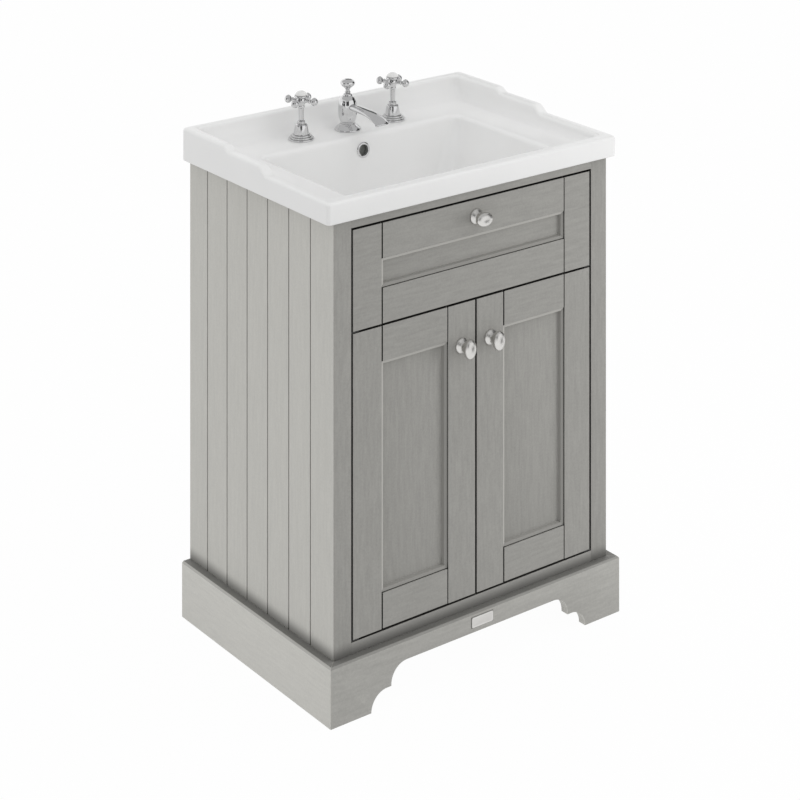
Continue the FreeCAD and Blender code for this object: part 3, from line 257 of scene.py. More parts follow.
ceramic = makeGlaze("whiteGlaze", (0.895, 0.895, 0.89), rough=0.34)
porcelain = makeGlaze("buttonGlaze", (0.80, 0.80, 0.79), rough=0.1)

metal = {"cloud": 38, "dark": 0.94, "light": 1.05, "brushDetail": 3.0, "relief": 0.08}


def makeMetal(name, colour, rough, spread, grain, depth, hollowShade=None):
    finish = Finish(name, Metallic=1.0)
    brush = finish.noise(grain, metal["brushDetail"])
    cloud = finish.noise(metal["cloud"])
    coat = finish.blend(tint(colour, metal["dark"]), tint(colour, metal["light"]), cloud)
    if hollowShade:  # painted shade in the hollows of a turning
        low, high, dim = hollowShade
        bend = finish.node("ShaderNodeNewGeometry", output="Pointiness")
        coat = finish.blend(tint(colour, dim), coat, finish.ramp(bend, low, high))
    finish.paint(Base_Color=coat, Roughness=rough + brush * spread)
    finish.bump(brush, metal["relief"], depth)
    return finish


chrome = makeMetal("chromePlate", (0.71, 0.71, 0.715), rough=0.06, spread=0.05, grain=300, depth=0.00004,
                   hollowShade=(0.468, 0.497, 0.06))
nickel = makeMetal("satinNickel", (0.70, 0.69, 0.67), rough=0.28, spread=0.10, grain=900, depth=0.00006,
                   hollowShade=(0.468, 0.497, 0.15))
plateFace = makeMetal("plateFace", (0.66, 0.65, 0.63), rough=0.34, spread=0.12, grain=900, depth=0.00006)
brass = makeMetal("turnedBrass", (0.70, 0.52, 0.24), rough=0.26, spread=0.18, grain=(160, 160, 900),
                  depth=0.0001)
steel = makeMetal("zincSteel", (0.56, 0.57, 0.58), rough=0.32, spread=0.16, grain=(700, 90, 700),
                  depth=0.0001)

moulded = {"pore": 650, "dark": 0.9, "light": 1.1, "roughSpread": 0.15, "relief": 0.15, "depth": 0.0001}


def makeMoulded(name, colour, rough):
    finish = Finish(name)
    pore = finish.noise(moulded["pore"])
    finish.paint(Base_Color=finish.blend(tint(colour, moulded["dark"]), tint(colour, moulded["light"]), pore),
                 Roughness=rough + pore * moulded["roughSpread"])
    finish.bump(pore, moulded["relief"], moulded["depth"])
    return finish


rubber = makeMoulded("blackRubber", (0.03, 0.03, 0.03), rough=0.6)
catchCase = makeMoulded("catchCase", (0.70, 0.70, 0.68), rough=0.4)
gapShade = makeMoulded("gapShade", (0.030, 0.029, 0.027), rough=0.75)
drainShade = makeMoulded("drainShade", (0.230, 0.235, 0.220), rough=0.5)
darkSteel = makeMoulded("darkSteel", (0.045, 0.045, 0.045), rough=0.5)
print("finishes made")


# common ways of making a piece

weld = {"made": 0.000002, "copied": 0.00001}  # corners closer than this become one


def addPiece(name, bm, node, finishes, *hidden, sharp=32, smoothing=0):
    bmesh.ops.remove_doubles(bm, verts=bm.verts, dist=weld["made"])
    bmesh.ops.recalc_face_normals(bm, faces=bm.faces)
    mesh = bpy.data.meshes.new(name)
    bm.to_mesh(mesh)
    bm.free()
    mesh.shade_smooth()
    mesh.set_sharp_from_angle(angle=math.radians(sharp))
    for finish in finishes:
        mesh.materials.append(finish.holder)
    piece = bpy.data.objects.new(name, mesh)
    bpy.context.scene.collection.objects.link(piece)
    if smoothing:
        surface = piece.modifiers.new("smoothing", "SUBSURF")
        surface.levels = smoothing
        surface.render_levels = smoothing
    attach(piece, bodyOf[node])
    for item in hidden:
        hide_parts(item)


def roundEdges(bm, edges, width, segments=2):
    bmesh.ops.bevel(bm, geom=edges, offset=width, offset_type="OFFSET", segments=segments, profile=0.5,
                    affect="EDGES", material=-1, clamp_overlap=True)


def sharpEdges(bm, degrees=30):
    return [edge for edge in bm.edges if len(edge.link_faces) == 2
            and edge.calc_face_angle(0) > math.radians(degrees)]


def prism(bm, corners, start, length):  # a flat outline pushed out into a bar
    face = bm.faces.new([bm.verts.new(corner) for corner in corners])
    made = bmesh.ops.extrude_face_region(bm, geom=[face])["geom"]
    verts = [item for item in made if isinstance(item, bmesh.types.BMVert)]
    bmesh.ops.translate(bm, vec=length, verts=verts)
    bmesh.ops.translate(bm, vec=start, verts=list(face.verts) + verts)


def startLoop(bm, spots):
    ring = [bm.verts.new(spot) for spot in spots]
    for index in range(len(ring)):
        bm.edges.new((ring[index - 1], ring[index]))
    return ring


def loopEdges(bm, ring):
    return [bm.edges.get((ring[index - 1], ring[index])) for index in range(len(ring))]


def drawLoop(bm, ring, spots):  # extrude a closed loop and lay the new one on its places
    made = bmesh.ops.extrude_edge_only(bm, edges=loopEdges(bm, ring))["geom"]
    fresh = {item for item in made if isinstance(item, bmesh.types.BMVert)}
    drawn = [next(edge.other_vert(vert) for edge in vert.link_edges if edge.other_vert(vert) in fresh)
             for vert in ring]
    for vert, spot in zip(drawn, spots):
        vert.co = spot
    return drawn


def copySolid(node):
    bm = bmesh.new()
    bm.from_mesh(frame["nodes"][node].data)
    for face in bm.faces:
        face.material_index = 0
    bmesh.ops.remove_doubles(bm, verts=bm.verts, dist=weld["copied"])
    bmesh.ops.dissolve_limit(bm, angle_limit=math.radians(1), verts=bm.verts, edges=bm.edges)
    return bm


def copyBoard(name, node, finish, ease, facing=None):  # the solid's own shape with its edges eased
    bm = copySolid(node)
    roundEdges(bm, sharpEdges(bm), ease * mm)
    for face in bm.faces:  # the side that looks into a gap has the edge paint, which takes painted shade where another board stands close
        face.material_index = 1 if facing and face.normal.dot(Vector(facing)) > 0.98 else 0
    addPiece(name, bm, node, [finish, paintEdgeShade], node)


def turn(bm, profile, steps=24):  # a cage of radius and height, spun about the upright axis
    grow = 3 / (2 + math.cos(math.tau / steps))  # the smoothed surface then keeps the radius
    verts = [bm.verts.new((radius * grow * mm, 0, height * mm)) for radius, height in profile]
    edges = [bm.edges.new(pair) for pair in zip(verts, verts[1:])]
    before = set(bm.verts) - set(verts)
    bmesh.ops.spin(bm, geom=verts + edges, cent=(0, 0, 0), axis=(0, 0, 1), angle=math.tau, steps=steps,
                   use_merge=True)
    return [vert for vert in bm.verts if vert not in before]


def rotated(degrees, axis):
    return Matrix.Rotation(math.radians(degrees), 4, axis)


def moveTo(bm, verts, spot, rotation):
    bmesh.ops.transform(bm, matrix=rotation, verts=verts)
    bmesh.ops.translate(bm, vec=spot, verts=verts)


# the cupboard's outside

sidePanels = {"first": 65, "pitch": 62, "count": 6, "grooveWide": 2.2, "grooveDeep": 4.0, "taper": 0.6,
              "ease": 0.6}


def makeSidePanel(side, sign):
    low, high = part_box(f"side_panel_{side}")
    outer = low.x if sign < 0 else high.x
    inward = -sign
    half = sidePanels["grooveWide"] * mm / 2
    halfFloor = half * sidePanels["taper"]
    ease = sidePanels["ease"] * mm
    deep = sidePanels["grooveDeep"] * mm
    corners = [(outer, low.y, 0)]
    for count in range(sidePanels["count"]):
        middle = low.y + (sidePanels["first"] + sidePanels["pitch"] * count) * mm
        for reach, inset in ((-half - ease, 0), (-half, ease), (-halfFloor, deep),
                             (halfFloor, deep), (half, ease), (half + ease, 0)):
            corners.append((outer + inward * inset, middle + reach, 0))
    thick = high.x - low.x
    corners += [(outer, high.y, 0), (outer + inward * thick, high.y, 0),
                (outer + inward * thick, low.y + thick, 0)]
    bm = bmesh.new()
    prism(bm, corners, (0, 0, low.z), (0, 0, high.z - low.z))
    # faces inside a groove take painted shade
    for face in bm.faces:
        inset = (face.calc_center_median().x - outer) * inward
        face.material_index = 1 if ease < inset < deep + ease and abs(face.normal.z) < 0.5 else 0
    addPiece(f"sideBoards_{side}", bm, f"side_panel_{side}", [paintSideLit, paintGrooveShade], f"side_panel_{side}",
             sharp=20)


plinthBoards = {"topRound": 3.0, "roundSteps": 4, "ease": 0.7}


def makePlinthBoard(name, node, finish, edgeShadeFinish, outward):
    bm = copySolid(node)
    out = Vector(outward)
    brow = [edge for edge in bm.edges if len(edge.link_faces) == 2
            and max(face.normal.z for face in edge.link_faces) > 0.9
            and max(face.normal.dot(out) for face in edge.link_faces) > 0.9]
    roundEdges(bm, brow, plinthBoards["topRound"] * mm, plinthBoards["roundSteps"])
    roundEdges(bm, sharpEdges(bm), plinthBoards["ease"] * mm)
    for face in bm.faces:  # painted shade on the rounded edge and the ledge, painted light on what looks left, and the rest
        rising, facing = face.normal.z, face.normal.dot(out)
        if rising > 0.25 and facing > 0.25:
            face.material_index = 3
        else:
            face.material_index = 1 if rising > 0.6 else 2 if face.normal.x < -0.3 else 0
    addPiece(name, bm, node, [finish, paintLedgeShade, paintPlinthSideLit, edgeShadeFinish], node)


faceFrame = {"stileEase": 0.35, "railEase": 0.4}

for side, sign in (("left", -1), ("right", 1)):
    makeSidePanel(side, sign)
    copyBoard(f"cornerStile_{side}", f"face_stile_{side}", paintUp, faceFrame["stileEase"], (-sign, 0, 0))
    makePlinthBoard(f"plinthEnd_{side}", f"plinth_side_{side}", paintPlinthSideLit, plinthSideEdgeShade, (sign, 0, 0))
copyBoard("topFrontRail", "face_rail_top", paintAcross, faceFrame["railEase"], (0, 0, -1))
copyBoard("lowFrontRail", "face_rail_bottom", paintAcross, faceFrame["railEase"], (0, 0, 1))
makePlinthBoard("plinthBoard", "plinth_front", paintPlinth, plinthEdgeShade, (0, -1, 0))
print("cupboard outside made")


# doors and drawer front: butted stiles and rails, a quirk, a sloping bead and a sunk panel

fronts = {"thick": 20, "member": 57.5, "recess": 9.5, "ease": 0.6, "gap": 2.2, "gapDeep": 5, "panelEase": 0.3,
          "quirk": 0.9, "beadTop": 2.6, "beadWide": 4.6, "beadFall": 1.6, "lean": 1.7, "tuck": 0.3}


def addMember(bm, face, outer, inner, start, end, upright):  # a bar with eased front edges
    back, ease = face + fronts["thick"] * mm, fronts["ease"] * mm
    sign = 1 if inner > outer else -1
    section = [(outer, face + ease), (outer + ease * sign, face), (inner - ease * sign, face),
               (inner, face + ease), (inner, back), (outer, back)]
    if upright:
        prism(bm, [(across, deep, 0) for across, deep in section], (0, 0, start), (0, 0, end - start))
    else:
        prism(bm, [(0, deep, across) for across, deep in section], (start, 0, 0), (end - start, 0, 0))


def addJoint(bm, face, left, right, foot, head):  # the joint is only a groove, closed behind
    near, far = face + fronts["gapDeep"] * mm, face + fronts["thick"] * mm
    corners = [(left, near, 0), (right, near, 0), (right, far, 0), (left, far, 0)]
    prism(bm, corners, (0, 0, foot), (0, 0, head - foot))


def addBead(bm, face, left, right, foot, head):  # a section drawn round the opening, mitred at its corners
    quirk, top, deep = fronts["quirk"], fronts["beadTop"], fronts["gapDeep"]
    far = quirk + fronts["beadWide"]
    section = [(0, deep), (quirk, deep), (quirk, top), (far, top + fronts["beadFall"]),
               (far + fronts["lean"], fronts["recess"] + fronts["tuck"])]
    stops = [(left, 1, foot, 1), (right, -1, foot, 1), (right, -1, head, -1), (left, 1, head, -1)]
    places = [[Vector((x + inset * mm * inX, face + down * mm, z + inset * mm * inZ))
               for inset, down in section] for x, inX, z, inZ in stops]
    ring = startLoop(bm, places[0])
    for run in range(4):  # along the foot, up the right, along the head, down the left
        ring = drawLoop(bm, ring, places[run - 3])
        for index, edge in enumerate(loopEdges(bm, ring)):  # three strips lie in the quirk and behind, in painted shade; the foot and right runs take painted shade, the head and left runs a painted highlight
            edge.link_faces[0].material_index = 2 if index < 3 else 1 if run < 2 else 0


def paintSides(bm):  # the sides of the bars look into gaps and joints and take the edge paint with its painted shade
    for face in bm.faces:
        face.material_index = 1 if abs(face.normal.y) < 0.5 else 0


def makeFront(name, left, right, foot, head):
    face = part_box(f"{name}_stiles")[0].y
    member, gap = fronts["member"] * mm, fronts["gap"] * mm
    upright = paintAcross if name == "drawer" else paintUp
    bm = bmesh.new()
    addMember(bm, face, left, left + member, foot, head, True)
    addMember(bm, face, right, right - member, foot, head, True)
    paintSides(bm)
    addPiece(f"{name}Uprights", bm, f"{name}_stiles", [upright, paintEdgeShade], f"{name}_stiles", sharp=25)
    bm = bmesh.new()
    for outer, inner in ((foot, foot + member), (head, head - member)):
        addMember(bm, face, outer, inner, left + member + gap, right - member - gap, False)
    for inner in (left + member, right - member - gap):
        for low in (foot, head - member):
            addJoint(bm, face, inner, inner + gap, low, low + member)
    paintSides(bm)
    addPiece(f"{name}Crossbars", bm, f"{name}_rails", [paintAcross, paintEdgeShade], f"{name}_rails", sharp=25)
    bm = bmesh.new()
    addBead(bm, face, left + member, right - member, foot + member, head - member)
    addPiece(f"{name}Bead", bm, f"{name}_rails", [beadLit, beadDim, gapShade], sharp=15)
    copyBoard(f"{name}SunkPanel", f"{name}_panel", upright, fronts["panelEase"])


for name in ("door_left", "door_right", "drawer"):
    low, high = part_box(f"{name}_stiles")
    makeFront(name, low.x, high.x, low.z, high.z)
print("doors and drawer front made")


# knobs

knobs = {"rose": [(0, 0), (12.2, 0), (13.0, 0.4), (13.0, 1.4), (12.4, 2.6), (10.2, 4.2), (7.6, 6.2),
                  (6.4, 8.4), (6.2, 10.2), (6.8, 12.4), (8.6, 14.6), (9.8, 16.2)],
         "head": [(0, 14.4), (6.0, 14.6), (10.6, 16.0), (13.4, 18.6), (14.2, 21.6), (13.6, 24.8),
                  (11.8, 27.1), (8.7, 28.9), (4.6, 30.1), (0, 30.5)],
         "headRound": 14, "long": 16.8, "short": 12}


def makeKnob(node, upright):
    low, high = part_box(node)
    middle = (low + high) / 2
    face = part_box(f"{node.rsplit('_', 1)[0]}_stiles")[0].y
    bm = bmesh.new()
    rose = turn(bm, knobs["rose"])
    head = turn(bm, knobs["head"])
    long, short = knobs["long"] / knobs["headRound"], knobs["short"] / knobs["headRound"]
    bmesh.ops.scale(bm, vec=(short, long, 1) if upright else (long, short, 1), verts=head)
    moveTo(bm, rose + head, (middle.x, face, middle.z), rotated(90, "X"))
    addPiece(node.replace("_knob", "Pull"), bm, node, [nickel], node, smoothing=2)


makeKnob("door_left_knob", True)
makeKnob("door_right_knob", True)
makeKnob("drawer_knob", False)
print("knobs made")


# basin: one loop of stations drawn up, over the rim, down to the deck, into the bowl and back up outside it

basinForm = {"half": 310, "front": 0, "back": 440, "corner": 6.5, "underside": 796, "deck": 810, "floor": 691,
             "footEase": 1.2, "rimLow": 831, "rimMid": 844, "rimHigh": 852,
             "stepOne": (180, 203), "stepTwo": (294, 312), "rimRound": 4.5, "roundSteps": 5, "backRound": 0.5}
rimInside = {"side": 15.5, "front": 18, "back": 9, "corner": 13, "cornerGrow": 0.3, "softer": 1.3}
deckCove = {"side": (21.4, 15), "front": (23.9, 14), "back": (14.9, 26), "corner": (15, 9), "drop": 5.9,
            "steps": 7}
bowlForm = {"half": 215, "front": 46, "back": 331, "near": 42, "far": 15,
            "lip": ((13, 0.0), (9, 0.4), (6, 1.1), (3.5, 2.5), (1.6, 4.6), (0.5, 7.2), (0, 10.7)),
            "lipFront": 6, "lipNear": 0.5, "lipFar": 0.6,
            "leanSide": 37, "leanFront": 36, "leanBack": 13, "growNear": 8, "growFar": 24,
            "heights": (768.7, 745), "floorRound": 24, "floorRise": 1.5, "floorSteps": 6, "wasteY": 195,
            "floorLoops": ((90, 1.2, 0.5), (60, 0.7, 0.1), (34, 0.2, 0), (24.5, 0, 0), (23.5, -1, 0),
                           (23.5, -12, 0), (60, -12, 0)),
            "shell": 12, "shellCorner": 42, "shellBack": 0.35,
            "shellLoops": ((-12, 52, 3), (-8.5, 42, 6), (4, 37, 4), (69, 17, 2))}
overflow = {"z": 784, "inset": 2.8, "cuts": 5, "loops": ((12.5, 0), (10.5, 0.4), (10.5, 9)), "darkFrom": 2,
            "darkWide": 14}
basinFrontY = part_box("basin")[0].y


def rimHeight(y):  # the rim rises towards the wall in two soft steps
    form = basinForm
    height = form["rimLow"]
    for (start, end), rise in ((form["stepOne"], form["rimMid"] - form["rimLow"]),
                               (form["stepTwo"], form["rimHigh"] - form["rimMid"])):
        part = min(max((y - start) / (end - start), 0), 1)
        height += rise * part * part * (3 - 2 * part)
    return height


cornerSteps = 8
straightShare = 0.985  # stations of a straight side stop just short of its corners
sideSpots = [68, 90, 120, 150, 172, 178, 182, 186, 190, 194, 198, 202, 206, 214, 240, 270, 288, 293, 297,
             301, 305, 309, 314, 322, 340, 354, 366]
frontSpots = [-1, -0.8, -0.6, -0.4, -0.2, 0, 0.2, 0.4, 0.6, 0.8, 1]
backSpots = [-1, -0.8, -0.6, -0.4, -0.24, -0.085, 0.085, 0.24, 0.4, 0.6, 0.8, 1]
cornerParts = [step / cornerSteps for step in range(cornerSteps + 1)]
stations = [("front", spot) for spot in frontSpots]
stations += [("corner", (1, -1, part)) for part in cornerParts]
stations += [("side", (1, spot)) for spot in sideSpots]
stations += [("corner", (1, 1, part)) for part in cornerParts]
stations += [("back", spot) for spot in reversed(backSpots)]
stations += [("corner", (-1, 1, 1 - part)) for part in cornerParts]
stations += [("side", (-1, spot)) for spot in reversed(sideSpots)]
stations += [("corner", (-1, -1, 1 - part)) for part in cornerParts]


def stationSpot(station, half, front, back, corners, fixed):
    kind, value = station
    near, far = corners if isinstance(corners, tuple) else (corners, corners)
    if kind == "front":
        return value * (half - near) * straightShare, front
    if kind == "back":
        return value * (half - far) * straightShare, back
    if kind == "corner":
        sideways, depth, part = value
        angle = math.radians(90 * part)
        if depth < 0:  # front corners run from the front edge to the side
            return sideways * (half - near + near * math.sin(angle)), front + near * (1 - math.cos(angle))
        return sideways * (half - far + far * math.cos(angle)), back - far * (1 - math.sin(angle))
    sideways, spot = value
    if fixed:
        return sideways * half, spot
    part = (spot - sideSpots[0]) / (sideSpots[-1] - sideSpots[0])
    short = 1 - straightShare
    return sideways * half, front + near + (back - front - near - far) * (short + (1 - 2 * short) * part)


# a loop has its half width, front, back, corner, share of the rim height and height, and says whether
# stations along the sides keep to their depth
def rimLoops():
    form, inside = basinForm, rimInside
    half, front, back, corner = form["half"], form["front"], form["back"], form["corner"]
    ease = form["footEase"]
    loops = [(half - ease, front + ease, back, corner, 0, form["underside"], True),
             (half, front, back, corner, 0, form["underside"] + ease, True)]
    angles = [math.radians(90 * step / form["roundSteps"]) for step in range(form["roundSteps"] + 1)]
    for angle in angles:
        inset = form["rimRound"] * (1 - math.cos(angle))
        drop = form["rimRound"] * (1 - math.sin(angle))
        loops.append((half - inset, front + inset, back - inset * form["backRound"], corner, 1, -drop, True))
    softRound = form["rimRound"] * inside["softer"]
    for angle in angles:  # inner edge of the rim
        inset = softRound * math.sin(angle)
        drop = softRound * (1 - math.cos(angle))
        loops.append((half - inside["side"] - inset, front + inside["front"] + inset,
                      back - inside["back"] - inset, inside["corner"] + inset * inside["cornerGrow"],
                      1, -drop, True))
    for step in range(1, deckCove["steps"] + 1):  # wall and cove down to the deck
        angle = math.radians(90 * step / deckCove["steps"])
        sweep, fall = 1 - math.cos(angle), math.sin(angle)
        side, near, far, turned = (start + grow * sweep for start, grow in
                                   (deckCove[key] for key in ("side", "front", "back", "corner")))
        height = form["deck"] * fall - deckCove["drop"] * (1 - fall)
        loops.append((half - side, front + near, back - far, turned, 1 - fall, height, True))
    return loops


def bowlLoops():
    form, deck, floor = bowlForm, basinForm["deck"], basinForm["floor"]
    loops = []
    for spread, drop in form["lip"]:
        corners = (form["near"] + spread * form["lipNear"], form["far"] + spread * form["lipFar"])
        loops.append((form["half"] + spread, form["front"] - min(spread, form["lipFront"]),
                      form["back"] + spread, corners, 0, deck - drop, False))

    def wallLoop(height, inset=0.0, extra=0.0):
        part = (deck - height) / (deck - floor)
        near = form["near"] + form["growNear"] * part + extra
        far = form["far"] + form["growFar"] * part + extra
        return (form["half"] - form["leanSide"] * part - inset,
                form["front"] + form["leanFront"] * part + inset,
                form["back"] - form["leanBack"] * part - inset, (near, far), 0, height, False)

    radius = form["floorRound"]
    loops += [wallLoop(height) for height in (*form["heights"], floor + radius)]
    for step in range(1, form["floorSteps"] + 1):  # rounding into the floor
        angle = math.radians(90 * step / form["floorSteps"])
        height = floor + radius * (1 - math.sin(angle)) + form["floorRise"]
        loops.append(wallLoop(height, radius * (1 - math.cos(angle)), step))
    return loops


def shellLoops():  # the outside of the bowl, from below its floor up to the underside of the rim
    form = bowlForm
    shell = form["shell"]
    half, front, back = form["half"] + shell, form["front"] - shell, form["back"] + shell
    loops = [(half - inset, front + inset, back - inset * form["shellBack"], form["shellCorner"] + extra, 0,
              basinForm["floor"] + height, False) for height, inset, extra in form["shellLoops"]]
    return loops + [(half, front, back, form["shellCorner"], 0, basinForm["underside"], False)]


def basinSpots(loop):
    half, front, back, corner, share, height, fixed = loop
    spots = []
    for station in stations:
        x, y = stationSpot(station, half, front, back, corner, fixed)
        spots.append(Vector((x * mm, y * mm + basinFrontY, (share * rimHeight(y) + height) * mm)))
    return spots


def wasteSpots(ring, radius, height, share):  # round about the waste, with a share of the last loop's form
    waste = Vector((0, basinFrontY + bowlForm["wasteY"] * mm, 0))
    spots = []
    for vert in ring:
        flat = Vector((vert.co.x, vert.co.y, 0))
        spot = flat.lerp(waste + (flat - waste).normalized() * radius * mm, 1 - share)
        spots.append(Vector((spot.x, spot.y, height * mm)))
    return spots


def openOverflow(bm):  # one face of the bowl's back wall becomes a round hole
    centre = Vector((0, basinFrontY + (bowlForm["back"] - overflow["inset"]) * mm, overflow["z"] * mm))
    lean = bowlForm["leanBack"] / (basinForm["deck"] - basinForm["floor"])
    patch = min(bm.faces, key=lambda face: (face.calc_center_median() - centre).length)
    border = list(patch.edges)
    bmesh.ops.delete(bm, geom=[patch], context="FACES_ONLY")
    made = bmesh.ops.subdivide_edges(bm, edges=border, cuts=overflow["cuts"])["geom_split"]
    border = [item for item in made if isinstance(item, bmesh.types.BMEdge) and len(item.link_faces) == 1]
    for radius, deep in overflow["loops"]:
        made = bmesh.ops.extrude_edge_only(bm, edges=border)["geom"]
        for vert in (item for item in made if isinstance(item, bmesh.types.BMVert)):
            away = Vector((vert.co.x - centre.x, 0, vert.co.z - centre.z)).normalized() * radius * mm
            vert.co = centre + away + Vector((0, deep * mm + away.z * lean, 0))
        border = [item for item in made if isinstance(item, bmesh.types.BMEdge) and len(item.link_faces) == 1]
    bmesh.ops.holes_fill(bm, edges=border)
    # the inside of the hole takes painted shade
    for face in bm.faces:
        away = face.calc_center_median() - centre
        inHole = away.y > overflow["darkFrom"] * mm and away.length < overflow["darkWide"] * mm
        face.material_index = 1 if inHole else 0


def makeBasin():
    bm = bmesh.new()
    first, *others = rimLoops() + bowlLoops()
    firstRing = ring = startLoop(bm, basinSpots(first))
    for loop in others:
        ring = drawLoop(bm, ring, basinSpots(loop))
    for radius, height, share in bowlForm["floorLoops"]:
        ring = drawLoop(bm, ring, wasteSpots(ring, radius, basinForm["floor"] + height, share))
    for loop in shellLoops():
        ring = drawLoop(bm, ring, basinSpots(loop))
    drawLoop(bm, ring, [vert.co.copy() for vert in firstRing])
    openOverflow(bm)
    addPiece("washBasin", bm, "basin", [ceramic, drainShade], "basin", sharp=38)


makeBasin()
print("basin made")


# overflow ring and blank plate

overflowRing = {"profile": [(9.2, -4.5), (9.2, 0.4), (9.6, 1.4), (10.6, 2.0), (12.4, 1.8), (13.8, 0.8),
                            (14.1, 0), (13.0, -0.2)],
                "y": 328.16, "lean": 83.77, "steps": 32}


def makeOverflowRing():
    bm = bmesh.new()
    verts = turn(bm, overflowRing["profile"], overflowRing["steps"])
    spot = Vector((0, basinFrontY + overflowRing["y"] * mm, overflow["z"] * mm))
    moveTo(bm, verts, spot, rotated(overflowRing["lean"], "X"))
    addPiece("overflowCollar", bm, "overflow_ring", [chrome], "overflow_ring", smoothing=1)


makeOverflowRing()

blankPlate = {"border": 2.2, "sunk": 0.6, "ease": 0.3, "pad": 0.8, "padThick": 0.5}


def makePlate():
    bm = copySolid("blank_plate")
    front = max((face for face in bm.faces if face.normal.y < -0.9), key=lambda face: face.calc_area())
    bmesh.ops.inset_region(bm, faces=[front], thickness=blankPlate["border"] * mm,
                           depth=-blankPlate["sunk"] * mm, use_even_offset=True)
    front.material_index = 1
    roundEdges(bm, sharpEdges(bm), blankPlate["ease"] * mm)
    low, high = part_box("blank_plate")
    pad = blankPlate["pad"] * mm
    corners = [(low.x - pad, high.y, low.z - pad), (high.x + pad, high.y, low.z - pad),
               (high.x + pad, high.y, high.z + pad), (low.x - pad, high.y, high.z + pad)]
    before = set(bm.faces)
    prism(bm, corners, (0, 0, 0), (0, -blankPlate["padThick"] * mm, 0))  # a pad in painted shade shows as a dark line round the edge
    for face in set(bm.faces) - before:
        face.material_index = 2
    addPiece("blankPlate", bm, "blank_plate", [nickel, plateFace, paintLedgeShade], "blank_plate")


makePlate()
print("overflow ring and plate made")


# taps: heights are from the deck, and a tail starts at the foot of its solid

taps = {"y": 166, "aside": 101.6, "portHigh": -45, "portSteps": 16,
        "port": [(0, 0), (8, 0), (8, 0.4), (8, 21.6), (7.6, 22), (0, 22)]}


def standOnDeck(bm, verts, x=0.0):
    bmesh.ops.translate(bm, vec=(x * mm, taps["y"] * mm, basinForm["deck"] * mm), verts=verts)


def addTail(bm, low, tail, shank):
    foot = low.z / mm - basinForm["deck"]
    return turn(bm, [(radius, foot + height) for radius, height in tail] + shank)


def addPort(bm, degrees):
    port = turn(bm, taps["port"], taps["portSteps"])
    moveTo(bm, port, (0, 0, taps["portHigh"] * mm), rotated(degrees, "Y"))
    return port


valves = {"cage": [(20.6, 0), (22.8, 0), (23.2, 0.4), (23.2, 2.8), (22.8, 3.3), (20.7, 3.5), (20.3, 3.8),
                   (20.3, 5.9), (19.9, 6.3), (17.7, 6.5), (17.3, 6.8), (17.3, 8.8), (16.9, 9.2), (14.1, 9.5),
                   (13.6, 10.0), (13.4, 12.4), (12.7, 17), (11.9, 22), (11.1, 26.4), (10.7, 27.2),
                   (7.3, 27.6), (6.9, 28.0), (6.7, 29.6), (7.1, 30.0), (7.1, 32.4), (6.7, 32.9), (4.3, 33.1),
                   (4.06, 32.7), (4.06, 28)],
          "tail": [(0, 0), (9.8, 0), (10.4, 0.6)],
          "shank": [(10.4, -60.4), (10.4, -60.1), (12.7, -60), (13.0, -59.6), (13.0, -0.3), (13.0, 0)]}


def makeValve(side, x):
    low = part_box(f"valve_{side}")[0]
    bm = bmesh.new()
    verts = turn(bm, valves["cage"])
    verts += addTail(bm, low, valves["tail"], valves["shank"])
    verts += addPort(bm, 90 if side == "left" else -90)
    standOnDeck(bm, verts, x)
    addPiece(f"tapBody_{side}", bm, f"valve_{side}", [chrome], f"valve_{side}", smoothing=2)


handles = {"hub": [(0, 19), (3.9, 19), (4, 19.6), (4, 33), (4, 34.4), (4.7, 35), (4.7, 37), (4.6, 44),
                   (4.8, 52), (5.0, 55.5), (6.0, 56.6), (6.3, 57.4), (6.3, 59.6), (5.8, 60.6), (6.2, 61.8),
                   (7.6, 64.2), (8.9, 67.2), (9.1, 70.2), (8.2, 72.8), (7.8, 74.0), (10.8, 74.6),
                   (12.0, 75.4), (12.3, 76.8), (12.0, 78.2), (11.2, 78.8), (10.6, 78.4), (0, 78.2)],
           "arm": [(0, 4), (3.6, 4), (3.5, 8), (2.9, 12), (2.9, 15.2), (4.1, 16.0), (4.2, 17.6), (2.8, 18.6),
                   (2.6, 20.2), (5.4, 20.8), (7.1, 23.8), (7.3, 26.8), (5.8, 30.0), (3.0, 31.8), (0, 32.1)],
           "armHigh": 69, "armSteps": 12, "turned": 29.5,
           "button": [(0, 78.4), (10.4, 78.4), (10.7, 79.2), (10.5, 80.6), (8.9, 83.2), (5.4, 85.5),
                      (0, 86.2)]}


def makeHandle(side, x):
    bm = bmesh.new()
    verts = turn(bm, handles["hub"])
    for quarter in range(4):
        arm = turn(bm, handles["arm"], handles["armSteps"])
        swing = rotated(handles["turned"] + 90 * quarter, "Z") @ rotated(90, "Y")
        moveTo(bm, arm, (0, 0, handles["armHigh"] * mm), swing)
        verts += arm
    standOnDeck(bm, verts, x)
    addPiece(f"crossHandle_{side}", bm, f"handle_{side}", [chrome], f"handle_{side}", smoothing=2)
    bm = bmesh.new()
    standOnDeck(bm, turn(bm, handles["button"]), x)
    addPiece(f"whiteButton_{side}", bm, f"button_{side}", [porcelain], f"button_{side}", smoothing=2)


for side, x in (("left", -taps["aside"]), ("right", taps["aside"])):
    makeValve(side, x)
    makeHandle(side, x)

